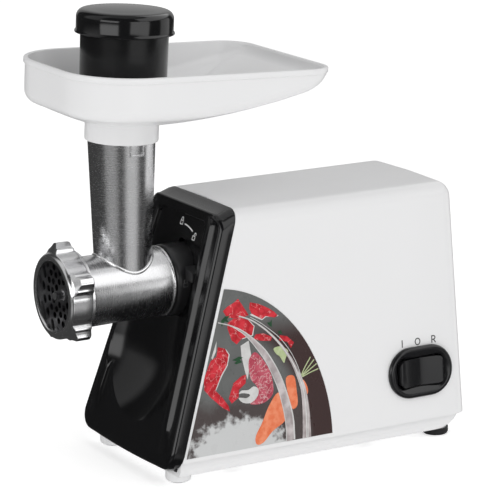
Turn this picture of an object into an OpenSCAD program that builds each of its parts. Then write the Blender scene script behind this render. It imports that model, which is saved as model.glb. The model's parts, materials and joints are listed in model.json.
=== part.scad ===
// Electric meat grinder. Millimetres, +Z up, front towards -Y, origin on the table under the
// middle of the whole machine. The modules are written from the feed tube's axis and the table.

/* [Housing] */
// Height of the housing's top above the table
body_top = 196; // [188:1:204]
// Half width of the housing at its lower edge
body_half_low = 68.5; // [66:0.5:72]
// Half width of the housing at its top
body_half_top = 52.5; // [50:0.5:56]
// Distance from the feed tube's axis to the housing's rear face
body_rear = 262; // [258:1:275]
// Rounding of the housing's top and rear edges
body_round = 12; // [9:0.5:14]
// Wall thickness of the housing
wall = 2.6; // [2.2:0.1:3]
// Height of the housing's lower edge above the table
side_z = 18; // [16:0.5:20]
// Height of the base plate's underside above the table
base_z = 8; // [7:0.5:9]
// Lean of the front from upright, in degrees
front_lean = 17.7; // [16:0.1:19]
// Distance from the feed tube's axis to the foot of the white housing
front_foot = 10.5; // [8:0.5:13]
// Thickness of the black front fascia
fascia_t = 13.8; // [12.5:0.1:15]

/* [Grinding head] */
// Height of the barrel's axis above the table
axis_z = 137; // [135:0.5:139]
// Outer radius of the feed tube at its top
tube_r = 24.5; // [23.5:0.1:25]
// Outer radius of the barrel at its rear
barrel_r = 25; // [24.6:0.1:25.2]
// Radius of the barrel's bore, in which the auger turns
bore_r = 21.8; // [21.2:0.1:22]
// Radius of the cutting plate
plate_r = 27; // [26.5:0.1:27.2]
// Outer radius of the ring nut between its grip lugs
nut_r = 31.6; // [31.2:0.1:32.5]
// Outer radius over the ring nut's grip lugs
lug_r = 38.3; // [36:0.1:39]
// Number of grip lugs
lug_count = 5; // [4:1:8]

/* [Tray and pusher] */
// Height of the lower end of the tray's collar above the table
collar_z = 246.4; // [244:0.2:248]
// Sag of the loose tray towards the rear, in degrees
tray_sag = 2.6; // [0:0.1:2.8]
// Half width of the tray
tray_half = 72; // [68:1:76]
// Distance from the tube's axis to the tray's front edge
tray_front = 62.3; // [58:0.5:66]
// Distance from the tube's axis to the tray's rear edge
tray_rear = 138; // [130:1:145]
// Height of the tray's rim above the collar's lower end
rim_h = 56.5; // [52:0.5:60]
// Radius of the pusher's wide body
pusher_r = 31.7; // [30:0.1:33]

/* [Drive] */
// Height of the motor's axis above the table
motor_z = 64; // [63:0.5:65]

/* [Hidden] */

gap = 0.05;              // running clearance of shafts in their bushes
slack = 0.3;             // clearance between parts that pass each other
rear_lean = 5;           // the rear face leans in this much at the top
rear_front_gap = 60;     // the body block starts this far ahead of the tube's axis

// Slope of the side faces: the tangent from the lower edge to the top rounding
side_dx = body_half_low - body_half_top + body_round;
side_dz = body_top - body_round - side_z;
side_lean = atan(side_dx / side_dz) - asin(body_round / norm([side_dx, side_dz]));

// The fascia's slanted plane, measured up the slope from the housing's lower edge
fascia_low = -8;
fascia_high = (body_top - side_z) / cos(front_lean);
fascia_corner = 14;
fascia_drop = 9;         // the fascia's top falls this much towards its front
axis_up = (axis_z - side_z) / cos(front_lean);   // the barrel's axis, up the slope
panel_depth = 3;         // the fascia's middle lies this deep behind its rims
rim_w = 13;              // width of the fascia's side rims
bowl_r = 80;             // radius of the scooped hollow under the barrel
bowl_half = 46;          // half width of that hollow
pocket_half = 37;        // half width of its narrow upper end, round the barrel
bowl_skin = 2.5;

// Feet and screws in the base
foot_x = 51;
foot_ys = [16.6, 243];
foot_r = 10;
screw_xy = [[-51, 62], [51, 62], [-50, 178], [50, 178]];

// Switch on the right side, measured along the side face
switch_y = 218.5;
switch_up = 38;
bezel_l = 57;
bezel_h = 39;
rocker_l = 39.6;
rocker_h = 21;

// Foil on the right side: a quarter oval
foil_centre_y = 40;
foil_ry = 98.5;
foil_rz = 121;
foil_t = 0.3;

// Release button beside the collar: its outline round the barrel's axis
button_low = 28;
button_high = 38.5;
button_y = [36.5, 53];
function button_outline(grow) = [[button_low - grow, 5.8 - grow], [button_high + grow, 6 - grow],
    [button_high + grow, 13 + grow], [button_low - grow, 16.2 + grow]];

// Head, along Y from the tube's axis
nut_front = -58.5;
nut_rear = -38.5;
nut_lip = 9;
nut_mouth_r = 25.8;
first_lug = 99;          // direction of the first lug
cup_r = 29.2;
plate_t = 5;
plate_front = nut_front + nut_lip;
cup_front = plate_front + 0.1;
plate_rear = plate_front + plate_t;
knife_t = 4;
knife_rear = plate_rear + knife_t;
barrel_rear = 31;
flange_r = 25.4;
cup_rear = -39.2;        // behind this the cup narrows to the barrel
cup_taper = 3;
barrel_taper = 1;        // the barrel is this much wider at its front
collar_r = 26.8;         // black collar that the head turns into
spigot_r = 21.6;
spigot_rear = 47;
bayonet_r = 24;
bayonet_y = [38.5, 44.5];
unlock_turn = 31;        // the head turns this far to the right before it comes off
pin_r = 4;
pin_tip_r = 3;
pin_out = 6.5;           // the auger's pin stands this far out of the cutting plate
tang_r = 6.8;
tube_top = collar_z + 13.7;
socket_screw_r = 30.4;   // pitch radius of the screws that hold the head socket

// Drive train, along Y from the tube's axis
box_front = 62;
box_rear = 107;
box_wall = 4;
cover_t = 4;
pinion_teeth = 12;
gear_teeth = [60, 54, 48];          // first, second and output gear
gear_module = [0.8, 1, 1.25];
stage_y = [[98, 105], [87, 95], [71, 83]];
pinion_over = 1;         // pinions are this much longer than their gears at each end
backlash = 0.14;
pressure_angle = 25;
shaft_hex = [2.4, 3.55, 4.2, 9];
shaft_round = [4, 3, 3.5, 6];
hex_gap = 0.03;
first_x = -20;

function centre_distance(i) = gear_module[i] * (pinion_teeth + gear_teeth[i]) / 2;
motor_xz = [0, motor_z];
output_xz = [0, axis_z];
first_xz = [first_x, motor_z + sqrt(pow(centre_distance(0), 2) - first_x * first_x)];
// The second shaft lies where the circles of two centre distances meet, on the right
leg = output_xz - first_xz;
leg_l = norm(leg);
along = (pow(centre_distance(1), 2) - pow(centre_distance(2), 2) + leg_l * leg_l) / (2 * leg_l);
across = sqrt(pow(centre_distance(1), 2) - along * along);
second_xz = first_xz + leg * along / leg_l + [leg[1], -leg[0]] * across / leg_l;

function bearing(a, b) = atan2(b[1] - a[1], b[0] - a[0]);
// Turn of a wheel that meshes with one turned by r1; angle is the direction from the first to it
function mesh_turn(r1, n1, n2, angle) = angle + 180 + 180 / n2 + (angle - r1) * n1 / n2;
turn_motor = 0;
turn_first = mesh_turn(turn_motor, pinion_teeth, gear_teeth[0], bearing(motor_xz, first_xz));
turn_second = mesh_turn(turn_first, pinion_teeth, gear_teeth[1], bearing(first_xz, second_xz));
turn_output = mesh_turn(turn_second, pinion_teeth, gear_teeth[2], bearing(second_xz, output_xz));

// Motor, along Y
stator_r = 40;
stator_y = [132, 168];
stator_bore = 23.6;
armature_r = 23;
coil_over = 7;
commutator_y = [178, 190];
commutator_r = 11;
bracket_y = 196;
motor_screw_r = 36.5;     // the long motor screws pass this far above and below the shaft
motor_post_r = 3.6;
motor_shaft_end = 205;
fan_y = [114, 122];
fan_r = 32;

// The whole machine's length is centred on the origin
gland_out = 4;
cord_at = [-30, 34];
front_reach = tray_front * cos(tray_sag) - (rim_h - 4) * sin(tray_sag);
head_y = (front_reach - body_rear - gland_out) / 2;

// ---------------------------------------------------------------- shared shapes

module at_head() { translate([0, head_y, 0]) children(); }

// Draws along +Y about the point [x, z], starting at y
module along_y(y, xz) { translate([xz[0], y, xz[1]]) rotate([90, 0, 0]) mirror([0, 0, 1]) children(); }

module rod(r, y0, y1, xz) { along_y(y0, xz) cylinder(r = r, h = y1 - y0, $fn = 64); }

module cone_y(r0, r1, y0, y1, xz) { along_y(y0, xz) cylinder(r1 = r0, r2 = r1, h = y1 - y0, $fn = 64); }

module hex_rod(r, y0, y1, xz, turn = 0) {
    along_y(y0, xz) rotate(turn) cylinder(r = r, h = y1 - y0, $fn = 6);
}

module box(x, y, z) { translate([x[0], y[0], z[0]]) cube([x[1] - x[0], y[1] - y[0], z[1] - z[0]]); }

// Housing block, inset by the wall for its inside
module body_block(inset, low) {
    r = body_round - inset;
    hull() for (s = [-1, 1]) for (y = [[-rear_front_gap, 0], [body_rear - body_round, rear_lean]]) {
        translate([s * (body_half_top - body_round), y[0] - y[1], body_top - body_round])
            sphere(r = r, $fn = 32);
        translate([s * (body_half_low - body_round), y[0], low]) cylinder(r = r, h = 0.1, $fn = 32);
    }
}

// Local frame of the slanted front: X across, Y up the slope, Z out of the front
module on_front() { translate([0, front_foot, side_z]) rotate([90 - front_lean, 0, 0]) children(); }

// Everything ahead of the slanted front plane, moved out by t
module ahead_of_front(t) { on_front() translate([-150, -150, t]) cube([300, 500, 300]); }

// Local frame of the right side face: X to the rear, Y up, Z outwards
module on_side() {
    translate([body_half_low, 0, side_z]) rotate([0, -side_lean, 0]) rotate([90, 0, 90]) children();
}

module stadium(l, h, t) {
    hull() for (s = [-1, 1]) translate([s * (l - h) / 2, 0, 0]) cylinder(d = h, h = t, $fn = 32);
}

module screw(r, l, head_r, head_t) {
    cylinder(r = r, h = l, $fn = 24);
    translate([0, 0, -head_t]) difference() {
        cylinder(r = head_r, h = head_t, $fn = 32);
        for (a = [0, 90]) rotate(a) translate([-head_r * 0.6, -0.5, -1]) cube([head_r * 1.2, 1, 2]);
    }
}

// Closed tube through a list of points
module tube_path(points, r, sides = 8) {
    n = len(points);
    dirs = [for (i = [0:n - 1]) let (d = points[min(i + 1, n - 1)] - points[max(i - 1, 0)]) d / norm(d)];
    rings = [for (i = [0:n - 1]) let (
            side = cross(dirs[i], [0.31, 0.17, 0.94]), u = side / norm(side), v = cross(dirs[i], u))
        for (k = [0:sides - 1]) points[i] + r * (cos(360 * k / sides) * u + sin(360 * k / sides) * v)];
    skins = [for (i = [0:n - 2]) for (k = [0:sides - 1]) let (j = (k + 1) % sides)
        [i * sides + k, i * sides + j, (i + 1) * sides + j, (i + 1) * sides + k]];
    low_end = [for (k = [sides - 1:-1:0]) k];
    high_end = [for (k = [0:sides - 1]) (n - 1) * sides + k];
    polyhedron(rings, concat([low_end], skins, [high_end]));
}

// Points of a Bezier curve through four handles
function bezier(a, b, c, d, steps = 12) = [for (i = [0:steps]) let (t = i / steps, s = 1 - t)
    s * s * s * a + 3 * s * s * t * b + 3 * s * t * t * c + t * t * t * d];

// ---------------------------------------------------------------- gears

function involute(angle) = tan(angle) - angle * PI / 180;
// Half the tooth's angle at radius r
function tooth_half(m, n, r) = let (rp = m * n / 2, rb = rp * cos(pressure_angle))
    90 / n - backlash / 2 / rp * 180 / PI
    + (involute(pressure_angle) - (r > rb ? involute(acos(rb / r)) : 0)) * 180 / PI;

function gear_points(m, n) = let (
        rp = m * n / 2, root = rp - 1.25 * m, tip = rp + m, rb = rp * cos(pressure_angle),
        start = max(rb, root + 0.1 * m), radii = [for (i = [0:3]) start + (tip - start) * i / 3])
    [for (k = [0:n - 1]) let (mid = 360 * k / n, low = tooth_half(m, n, radii[0]))
        each concat(
            [root * [cos(mid - low - 20 / n), sin(mid - low - 20 / n)]],
            [for (r = radii) let (a = mid - tooth_half(m, n, r)) r * [cos(a), sin(a)]],
            [for (i = [3:-1:0]) let (r = radii[i], a = mid + tooth_half(m, n, r)) r * [cos(a), sin(a)]],
            [root * [cos(mid + low + 20 / n), sin(mid + low + 20 / n)]])];

// Spur wheel on a hexagonal seat, with round holes in its web
module spur(m, n, y, xz, turn, hex_r, holes = 0) {
    along_y(y[0], xz) rotate(turn) difference() {
        linear_extrude(y[1] - y[0]) difference() {
            polygon(gear_points(m, n));
            circle(r = hex_r + hex_gap, $fn = 6);
            if (holes > 0) for (k = [0:holes - 1]) rotate(360 * (k + 0.5) / holes)
                translate([m * n * 0.29, 0]) circle(r = m * n * 0.08, $fn = 12);
        }
        if (holes > 0) for (z = [-1, y[1] - y[0] - 1]) translate([0, 0, z]) linear_extrude(2) difference() {
            circle(r = m * n / 2 - 3.2 * m, $fn = 12);
            circle(r = hex_r + 4, $fn = 12);
        }
    }
}

// ---------------------------------------------------------------- housing

module main_housing() color("white") at_head() difference() {
    union() {
        difference() {
            body_block(0, side_z);
            body_block(wall, side_z - 1);
        }
        intersection() {
            body_block(0.5, side_z);
            for (p = screw_xy) translate([p[0], p[1], side_z]) {
                cylinder(r = 4.5, h = 40, $fn = 32);
                translate([p[0] > 0 ? 0 : -30, -1.5, 0]) cube([30, 3, 36]);
            }
        }
    }
    ahead_of_front(0);
    for (p = screw_xy) translate([p[0], p[1], side_z - 1]) cylinder(r = 1.75, h = 25, $fn = 24);
    on_side() translate([switch_y, switch_up, 0])
        box([-21.5, 21.5], [-12.5, 12.5], [-10, 5]);
    rod(6.2, body_rear - 12, body_rear + 5, cord_at);
    for (k = [0:6]) box([-24, 24], [body_rear - 20, body_rear + 5], [96 + 8 * k, 99.5 + 8 * k]);
}

module base_outline(inset, z0, z1) {
    r = body_round - inset;
    hull() for (s = [-1, 1]) for (y = [0, body_rear - body_round])
        translate([s * (body_half_low - body_round), y, z0]) cylinder(r = r, h = z1 - z0, $fn = 32);
}

module base_plate() color("whitesmoke") at_head() difference() {
    union() {
        difference() {
            base_outline(1.4, base_z, side_z);
            base_outline(1.4 + wall, base_z + wall, side_z + 1);
            ahead_of_front(-0.2);
        }
        for (p = screw_xy) translate([p[0], p[1], base_z]) cylinder(r = 6.5, h = side_z - base_z, $fn = 32);
        for (s = [-1, 1]) {
            translate([s * foot_x, foot_ys[1], 5]) cylinder(r = foot_r - 1.8, h = base_z - 4, $fn = 48);
            translate([s * foot_x, foot_ys[0], 2.4]) cylinder(r = 9.4, h = base_z - 1.4, $fn = 48);
            translate([s * foot_x, foot_ys[0], 0.8]) cylinder(r1 = 8, r2 = 9.4, h = 1.6, $fn = 48);
        }
    }
    for (s = [-1, 1]) translate([s * foot_x, foot_ys[0], -1]) cylinder(r = 6.6, h = 4, $fn = 48);
    for (p = screw_xy) translate([p[0], p[1], base_z - 1]) {
        cylinder(r = 2.2, h = 20, $fn = 24);
        cylinder(r = 4.4, h = 6, $fn = 32);
    }
    for (k = [-4:4]) box([-26, 26], [150 + 9 * k, 153.5 + 9 * k], [base_z - 1, base_z + wall + 1]);
}

module rubber_feet() color("dimgray") at_head() for (s = [-1, 1]) {
    translate([s * foot_x, foot_ys[0], 0]) cylinder(r = 6.5, h = 3, $fn = 48);
    translate([s * foot_x, foot_ys[1], 0]) {
        cylinder(r1 = foot_r - 1, r2 = foot_r, h = 1.5, $fn = 48);
        translate([0, 0, 1.5]) cylinder(r = foot_r, h = 3.5, $fn = 48);
    }
}

// Rounded outline of the fascia as four posts, drawn between two heights out of the slope;
// drop lowers the upper pair
module fascia_posts(inset, t0, t1, drop = 0) {
    for (s = [-1, 1]) {
        translate([s * (body_half_low + 0.6 - fascia_corner), fascia_low + fascia_corner, t0])
            cylinder(r = fascia_corner - inset, h = t1 - t0, $fn = 32);
        translate([s * (body_half_top - body_round), fascia_high - body_round - drop, t0])
            cylinder(r = body_round - inset, h = t1 - t0, $fn = 32);
    }
}

// Scooped hollow under the barrel: a trough with round ends that narrows up the slope
module bowl(extra) {
    sink = sqrt(bowl_r * bowl_r - bowl_half * bowl_half);
    pocket_r = sqrt(sink * sink + pocket_half * pocket_half);
    low = 58;
    translate([0, 0, fascia_t - panel_depth + sink]) {
        translate([0, low, 0]) {
            sphere(r = bowl_r + extra, $fn = 96);
            rotate([-90, 0, 0])
                cylinder(r1 = bowl_r + extra, r2 = pocket_r + extra, h = axis_up - low, $fn = 96);
        }
        translate([0, axis_up, 0]) sphere(r = pocket_r + extra, $fn = 96);
    }
}

module front_fascia() color("black") at_head() difference() {
    on_front() difference() {
        union() {
            difference() {
                hull() {
                    fascia_posts(0, 0.2, 1.2);
                    fascia_posts(0, 1, fascia_t - 4, fascia_drop * 0.7);
                    fascia_posts(3.4, 1, fascia_t, fascia_drop);
                }
                hull() fascia_posts(4, -1, fascia_t - panel_depth - 3, fascia_drop * 0.7);
            }
            intersection() {
                bowl(bowl_skin);
                translate([-54, -2, -12]) cube([108, 168, fascia_t + 6]);
            }
            translate([0, axis_up, -2]) cylinder(r = pocket_half, h = 9, $fn = 64);
        }
        hull() fascia_posts(rim_w, fascia_t - panel_depth, fascia_t + 1);
        bowl(0);
    }
    rod(collar_r + slack, -20, 90, [0, axis_z]);
    along_y(-20, [0, axis_z]) linear_extrude(110) polygon(button_outline(slack));
    rod(36, 50, 100, [0, axis_z]);
    box([button_low - 0.7, button_high + 3.5], [50, 90], axis_z * [1, 1] + [3, 19]);
}

module head_socket() color("#202020") at_head() difference() {
    union() {
        rod(collar_r, barrel_rear + slack, box_front - 3, [0, axis_z]);
        rod(34.5, box_front - 4, box_front, [0, axis_z]);
    }
    rod(spigot_r + slack, barrel_rear - 1, spigot_rear + 1, [0, axis_z]);
    rod(14.2, spigot_rear, box_front + 1, [0, axis_z]);
    rod(bayonet_r + slack, bayonet_y[0] - 0.5, bayonet_y[1] + 0.5, [0, axis_z]);
    for (k = [0:2]) along_y(barrel_rear - 1, [0, axis_z]) rotate(120 * k + 90 - unlock_turn)
        translate([0, -5.5, 0]) cube([bayonet_r + slack, 11, 12]);
    for (a = [45:90:315]) rod(2.1, 50, 80, [socket_screw_r * cos(a), axis_z + socket_screw_r * sin(a)]);
    box([button_low - 0.5, 45], [57, 63], axis_z * [1, 1] + [3, 19]);
}

module release_button() color("#181818") at_head() difference() {
    union() {
        along_y(button_y[0], [0, axis_z]) linear_extrude(button_y[1] - button_y[0])
            polygon(button_outline(0));
        box([button_low, button_high + 2.5], [button_y[1] - 0.4, button_y[1] + 1.6],
            axis_z * [1, 1] + [4.2, 17.6]);
    }
    rod(2.6, button_y[1] - 7, button_y[1] + 2, [button_low + 5, axis_z + 9.5]);
}

module side_foil() color("gray") at_head() on_side() translate([0, 0, 0.06]) intersection() {
    translate([foil_centre_y, 3, 0]) linear_extrude(foil_t) polygon(concat([[-40, 0]],
        [for (a = [0:5:90]) [foil_ry * cos(a), foil_rz * sin(a)]], [[-40, foil_rz]]));
    // The left edge runs parallel to the fascia, a little behind it
    rotate(-front_lean) translate([front_foot + 2.5, -200, -1]) cube([400, 600, 3]);
}

module switch_bezel() color("black") at_head() on_side() translate([switch_y, switch_up, 0.1]) difference() {
    union() {
        stadium(bezel_l, bezel_h, 2);
        stadium(bezel_l - 5, bezel_h - 5, 3.4);
    }
    box([-rocker_l / 2 - 0.8, rocker_l / 2 + 0.8], [-rocker_h / 2 - 0.8, rocker_h / 2 + 0.8], [-1, 5]);
}

module switch_body() color("#303030") at_head() on_side() translate([switch_y, switch_up, 0]) {
    difference() {
        box([-21.3, 21.3], [-12.3, 12.3], [-24, 0.1]);
        box([-rocker_l / 2 - 0.6, rocker_l / 2 + 0.6], [-rocker_h / 2 - 0.6, rocker_h / 2 + 0.6], [-9, 1]);
    }
    for (x = [-14, 0, 14]) box([x - 3, x + 3], [-0.4, 0.4], [-33, -24]);
}

module switch_rocker() color("#101010") at_head() on_side() translate([switch_y, switch_up, 0])
    rotate([90, 0, 0]) linear_extrude(rocker_h, center = true) polygon([
        [-rocker_l / 2, -2], [-rocker_l / 2, 5.4], [0, 2.6],
        [rocker_l / 2, 5.4], [rocker_l / 2, -2], [0, -5]]);

module cord_gland() color("#202020") at_head() difference() {
    union() {
        rod(6, body_rear - 8, body_rear + 1, cord_at);
        rod(9, body_rear, body_rear + gland_out, cord_at);
        rod(8, body_rear - 8, body_rear - 5, cord_at);
    }
    rod(3.6, body_rear - 12, body_rear + 8, cord_at);
}

// ---------------------------------------------------------------- electrics and screws

board_x = -48;

module circuit_board() color("darkgreen") at_head() {
    difference() {
        box([board_x, board_x + 1.6], [190, 245], [52, 92]);
        for (y = [194, 241]) for (z = [56, 88]) translate([board_x - 1, y, z]) rotate([0, 90, 0])
            cylinder(r = 1.6, h = 4, $fn = 24);
    }
    for (k = [0:2]) box([board_x + 1.6, board_x + 12], [196 + 9 * k, 203 + 9 * k], [80, 86]);
}

module filter_capacitor() color("goldenrod") at_head()
    box([board_x + 1.7, board_x + 16], [200, 226], [56, 76]);

module wiring() color("saddlebrown") at_head() {
    tube_path(bezier([-30, body_rear - 9, 34], [-30, 236, 34], [-40, 246, 44], [-41, 236, 54], 10), 2.6);
    tube_path(bezier([-40, 232, 84], [-20, 236, 110], [24, 236, 90], [30, 234, 62], 14), 1.3);
    tube_path(bezier([-40, 218, 94], [-16, 222, 118], [16, 222, 112], [28, 218, 68], 14), 1.3);
    tube_path(bezier([26, 190, 82], [30, 196, 92], [30, 204, 90], [29, 206, 64], 12), 1.3);
    tube_path(bezier([-26, 190, 82], [-30, 200, 96], [-34, 200, 100], [-38, 205, 92], 12), 1.3);
}

module base_screws() color("silver") at_head()
    for (p = screw_xy) translate([p[0], p[1], base_z + 5]) screw(1.7, 22, 3.8, 2.4);

module socket_screws() color("silver") at_head() for (a = [45:90:315])
    along_y(box_front - 4, [socket_screw_r * cos(a), axis_z + socket_screw_r * sin(a)]) screw(2, 7.9, 3, 2);

// ---------------------------------------------------------------- gearbox

// Outline of the gearbox round its four shafts, shrunk by inset
module gearbox_outline(inset, y0, y1) {
    hull() for (c = [[motor_xz, 42], [first_xz, 34], [second_xz, 37], [output_xz, 39.5]])
        rod(c[1] - inset, y0, y1, c[0]);
}

function around(c, r, a) = c + r * [cos(a), sin(a)];
gearbox_screw_at = [around(first_xz, 29.8, 165), around(second_xz, 32.6, 0), around(output_xz, 35.6, 45),
    around(output_xz, 35.6, 135), around(motor_xz, 37.4, 215), around(motor_xz, 37.4, 325)];

module gearbox_housing() color("lightgray") at_head() difference() {
    union() {
        difference() {
            gearbox_outline(0, box_front, box_rear);
            gearbox_outline(3, box_front + box_wall, box_rear + 1);
        }
        rod(7.5, box_front, 69, first_xz);
        rod(7.5, box_front, 69, second_xz);
        rod(18, box_front, 69.5, output_xz);
        intersection() {
            gearbox_outline(0, box_front, box_rear);
            for (p = gearbox_screw_at) rod(3.6, box_front, box_rear, p);
        }
    }
    for (s = [0:1]) rod(5.5, 63, 80, [first_xz, second_xz][s]);
    rod(14, box_front - 1, 80, output_xz);
    for (p = gearbox_screw_at) rod(1.5, 90, 120, p);
    for (a = [45:90:315]) rod(2.05, 60, 70, [socket_screw_r * cos(a), axis_z + socket_screw_r * sin(a)]);
}

module gearbox_cover() color("gray") at_head() difference() {
    union() {
        gearbox_outline(0, box_rear, box_rear + cover_t);
        rod(14, box_rear, 113, motor_xz);
        for (s = [-1, 1]) rod(motor_post_r, box_rear, stator_y[0], [0, motor_z + s * motor_screw_r]);
    }
    rod(11, box_rear - 1, 112, motor_xz);
    rod(8, 100, 120, motor_xz);
    rod(5.5, box_rear - 1, box_rear + cover_t + 1, first_xz);
    rod(5.5, box_rear - 1, box_rear + cover_t + 1, second_xz);
    rod(9, box_rear - 1, box_rear + cover_t + 1, output_xz);
    for (p = gearbox_screw_at) rod(1.9, 100, 120, p);
    for (s = [-1, 1]) rod(1.9, 120, 140, [0, motor_z + s * motor_screw_r]);
}

module gearbox_screws() color("silver") at_head() for (p = gearbox_screw_at)
    translate([p[0], box_rear + cover_t, p[1]]) rotate([90, 0, 0]) screw(1.45, 16, 3.2, 2);

module output_bush() color("peru") at_head() difference() {
    rod(13.95, box_front - 5, 69.5, output_xz);
    rod(11 + gap, 50, 80, output_xz);
}

module shaft_bushes() color("peru") at_head() {
    for (s = [0:1]) for (y = [63, 105.8]) difference() {
        rod(5.45, y, y + 5, [first_xz, second_xz][s]);
        rod(shaft_round[s + 1] + gap, y - 1, y + 7, [first_xz, second_xz][s]);
    }
    difference() {
        rod(8.95, 105.8, 110.8, output_xz);
        rod(shaft_round[3] + gap, 100, 115, output_xz);
    }
}

// ---------------------------------------------------------------- motor

module stator_core() color("slategray") at_head() along_y(stator_y[0], motor_xz) difference() {
    linear_extrude(stator_y[1] - stator_y[0]) difference() {
        circle(r = stator_r, $fn = 96);
        difference() {
            circle(r = 33, $fn = 96);
            translate([-12, -40]) square([24, 80]);
            difference() {
                circle(r = 27, $fn = 96);
                for (s = [0, 180]) rotate(s) polygon([[0, 0], [60, 34], [60, -34]]);
            }
        }
        circle(r = stator_bore, $fn = 96);
    }
    for (s = [-1, 1]) translate([0, s * motor_screw_r, -1]) cylinder(r = 2.1, h = 60, $fn = 24);
}

// Each coil is a loop round a pole, between the ring and the pole's shoe
module field_coils() color("orangered") at_head() for (s = [90, 270])
    along_y(stator_y[0] - coil_over, motor_xz) rotate(s) difference() {
        linear_extrude(stator_y[1] - stator_y[0] + 2 * coil_over) intersection() {
            difference() {
                circle(r = 32.6, $fn = 96);
                circle(r = 27.4, $fn = 96);
            }
            polygon([[0, 0], [60, 66], [60, -66]]);
        }
        translate([20, -12.3, coil_over - 0.4]) cube([20, 24.6, stator_y[1] - stator_y[0] + 0.8]);
    }

module motor_bracket() color("gainsboro") at_head() difference() {
    union() {
        box([-13, 13], [bracket_y, bracket_y + 3], [motor_z - 41, motor_z + 41]);
        rod(12, bracket_y, bracket_y + 7, motor_xz);
        for (s = [-1, 1]) rod(motor_post_r, stator_y[1], bracket_y + 1, [0, motor_z + s * motor_screw_r]);
    }
    rod(9, bracket_y - 1, bracket_y + 6, motor_xz);
    rod(5, bracket_y - 1, bracket_y + 9, motor_xz);
    for (s = [-1, 1]) rod(2.1, stator_y[1] - 1, bracket_y + 4, [0, motor_z + s * motor_screw_r]);
}

module motor_screws() color("silver") at_head() for (s = [-1, 1])
    translate([0, bracket_y + 3, motor_z + s * motor_screw_r]) rotate([90, 0, 0]) screw(1.85, 72, 3.6, 2.4);

module motor_bearings() color("silver") at_head() {
    difference() {
        rod(10.95, 107.5, 112, motor_xz);
        rod(shaft_round[0] + gap, 100, 120, motor_xz);
    }
    difference() {
        rod(8.95, bracket_y + 0.5, bracket_y + 6, motor_xz);
        rod(shaft_round[0] + gap, bracket_y - 1, bracket_y + 9, motor_xz);
    }
}

// One holder and one brush on each side of the commutator
module both_sides() { for (s = [0, 1]) mirror([s, 0, 0]) children(); }

module brush_holders() color("burlywood") at_head() both_sides() difference() {
    union() {
        box([12.5, 34], [180, 189], [motor_z - 5, motor_z + 5]);
        box([26, 29], [176, bracket_y], [motor_z - 9, motor_z + 9]);
        box([8, 29], [bracket_y - 2, bracket_y], [motor_z - 13, motor_z + 13]);
    }
    box([12, 32], [181.4, 187.6], [motor_z - 3.4, motor_z + 3.4]);
    rod(13, bracket_y - 4, bracket_y + 1, motor_xz);
}

module carbon_brushes() color("#3a3a3a") at_head() both_sides()
    box([commutator_r + 0.15, 24], [181.6, 187.4], [motor_z - 3.2, motor_z + 3.2]);

module motor_shaft() color("lightsteelblue") at_head() {
    hex_rod(shaft_hex[0], 96.5, 107, motor_xz);
    rod(shaft_round[0], 107, motor_shaft_end, motor_xz);
}

module armature_core() color("slategray") at_head() along_y(stator_y[0], motor_xz)
    linear_extrude(stator_y[1] - stator_y[0]) difference() {
        circle(r = armature_r, $fn = 96);
        circle(r = shaft_round[0] + gap, $fn = 48);
        for (k = [0:11]) rotate(30 * k) translate([13, -1.6]) square([12, 3.2]);
    }

module armature_winding() color("chocolate") at_head() {
    for (y = [[stator_y[0] - 6, stator_y[0] - 0.1], [stator_y[1] + 0.1, stator_y[1] + 8]]) difference() {
        rod(20.5, y[0], y[1], motor_xz);
        rod(7, y[0] - 1, y[1] + 1, motor_xz);
    }
    along_y(stator_y[0] - 0.1, motor_xz) for (k = [0:11]) rotate(30 * k)
        translate([14, -1.5, 0]) cube([7, 3, stator_y[1] - stator_y[0] + 0.2]);
}

module commutator() color("#b87333") at_head() along_y(commutator_y[0], motor_xz)
    linear_extrude(commutator_y[1] - commutator_y[0]) difference() {
        circle(r = commutator_r, $fn = 96);
        circle(r = shaft_round[0] + gap, $fn = 48);
        for (k = [0:23]) rotate(15 * k) translate([9.5, -0.25]) square([3, 0.5]);
    }

module cooling_fan() color("ivory") at_head() along_y(fan_y[0], motor_xz) difference() {
    union() {
        cylinder(r = 9, h = fan_y[1] - fan_y[0], $fn = 48);
        cylinder(r = fan_r, h = 1.6, $fn = 96);
        for (k = [0:8]) rotate(40 * k) translate([8, 0, 0]) rotate(-28)
            cube([fan_r - 11, 1.4, fan_y[1] - fan_y[0]]);
    }
    translate([0, 0, -1]) cylinder(r = shaft_round[0] + gap, h = 20, $fn = 48);
}

// ---------------------------------------------------------------- gear train

function pinion_span(i) = stage_y[i] + pinion_over * [-1, 1];

module motor_pinion() color("silver") at_head()
    spur(gear_module[0], pinion_teeth, pinion_span(0), motor_xz, turn_motor, shaft_hex[0]);

module first_gear() color("ivory") at_head()
    spur(gear_module[0], gear_teeth[0], stage_y[0], first_xz, turn_first, shaft_hex[1], 6);

module first_shaft() color("silver") at_head() {
    rod(shaft_round[1], 64, 85, first_xz);
    hex_rod(shaft_hex[1], 85, 105.6, first_xz, turn_first);
    rod(shaft_round[1], 105.6, 110, first_xz);
}

module second_pinion() color("silver") at_head()
    spur(gear_module[1], pinion_teeth, pinion_span(1), first_xz, turn_first, shaft_hex[1]);

module second_gear() color("ivory") at_head()
    spur(gear_module[1], gear_teeth[1], stage_y[1], second_xz, turn_second, shaft_hex[2], 6);

module second_shaft() color("silver") at_head() {
    rod(shaft_round[2], 64, 69.5, second_xz);
    hex_rod(shaft_hex[2], 69.5, 97, second_xz, turn_second);
    rod(shaft_round[2], 97, 110, second_xz);
}

module third_pinion() color("silver") at_head()
    spur(gear_module[2], pinion_teeth, [stage_y[2][0] - 0.8, stage_y[2][1] + 1], second_xz, turn_second,
        shaft_hex[2]);

module output_gear() color("silver") at_head()
    spur(gear_module[2], gear_teeth[2], stage_y[2], output_xz, turn_output, shaft_hex[3], 6);

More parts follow.
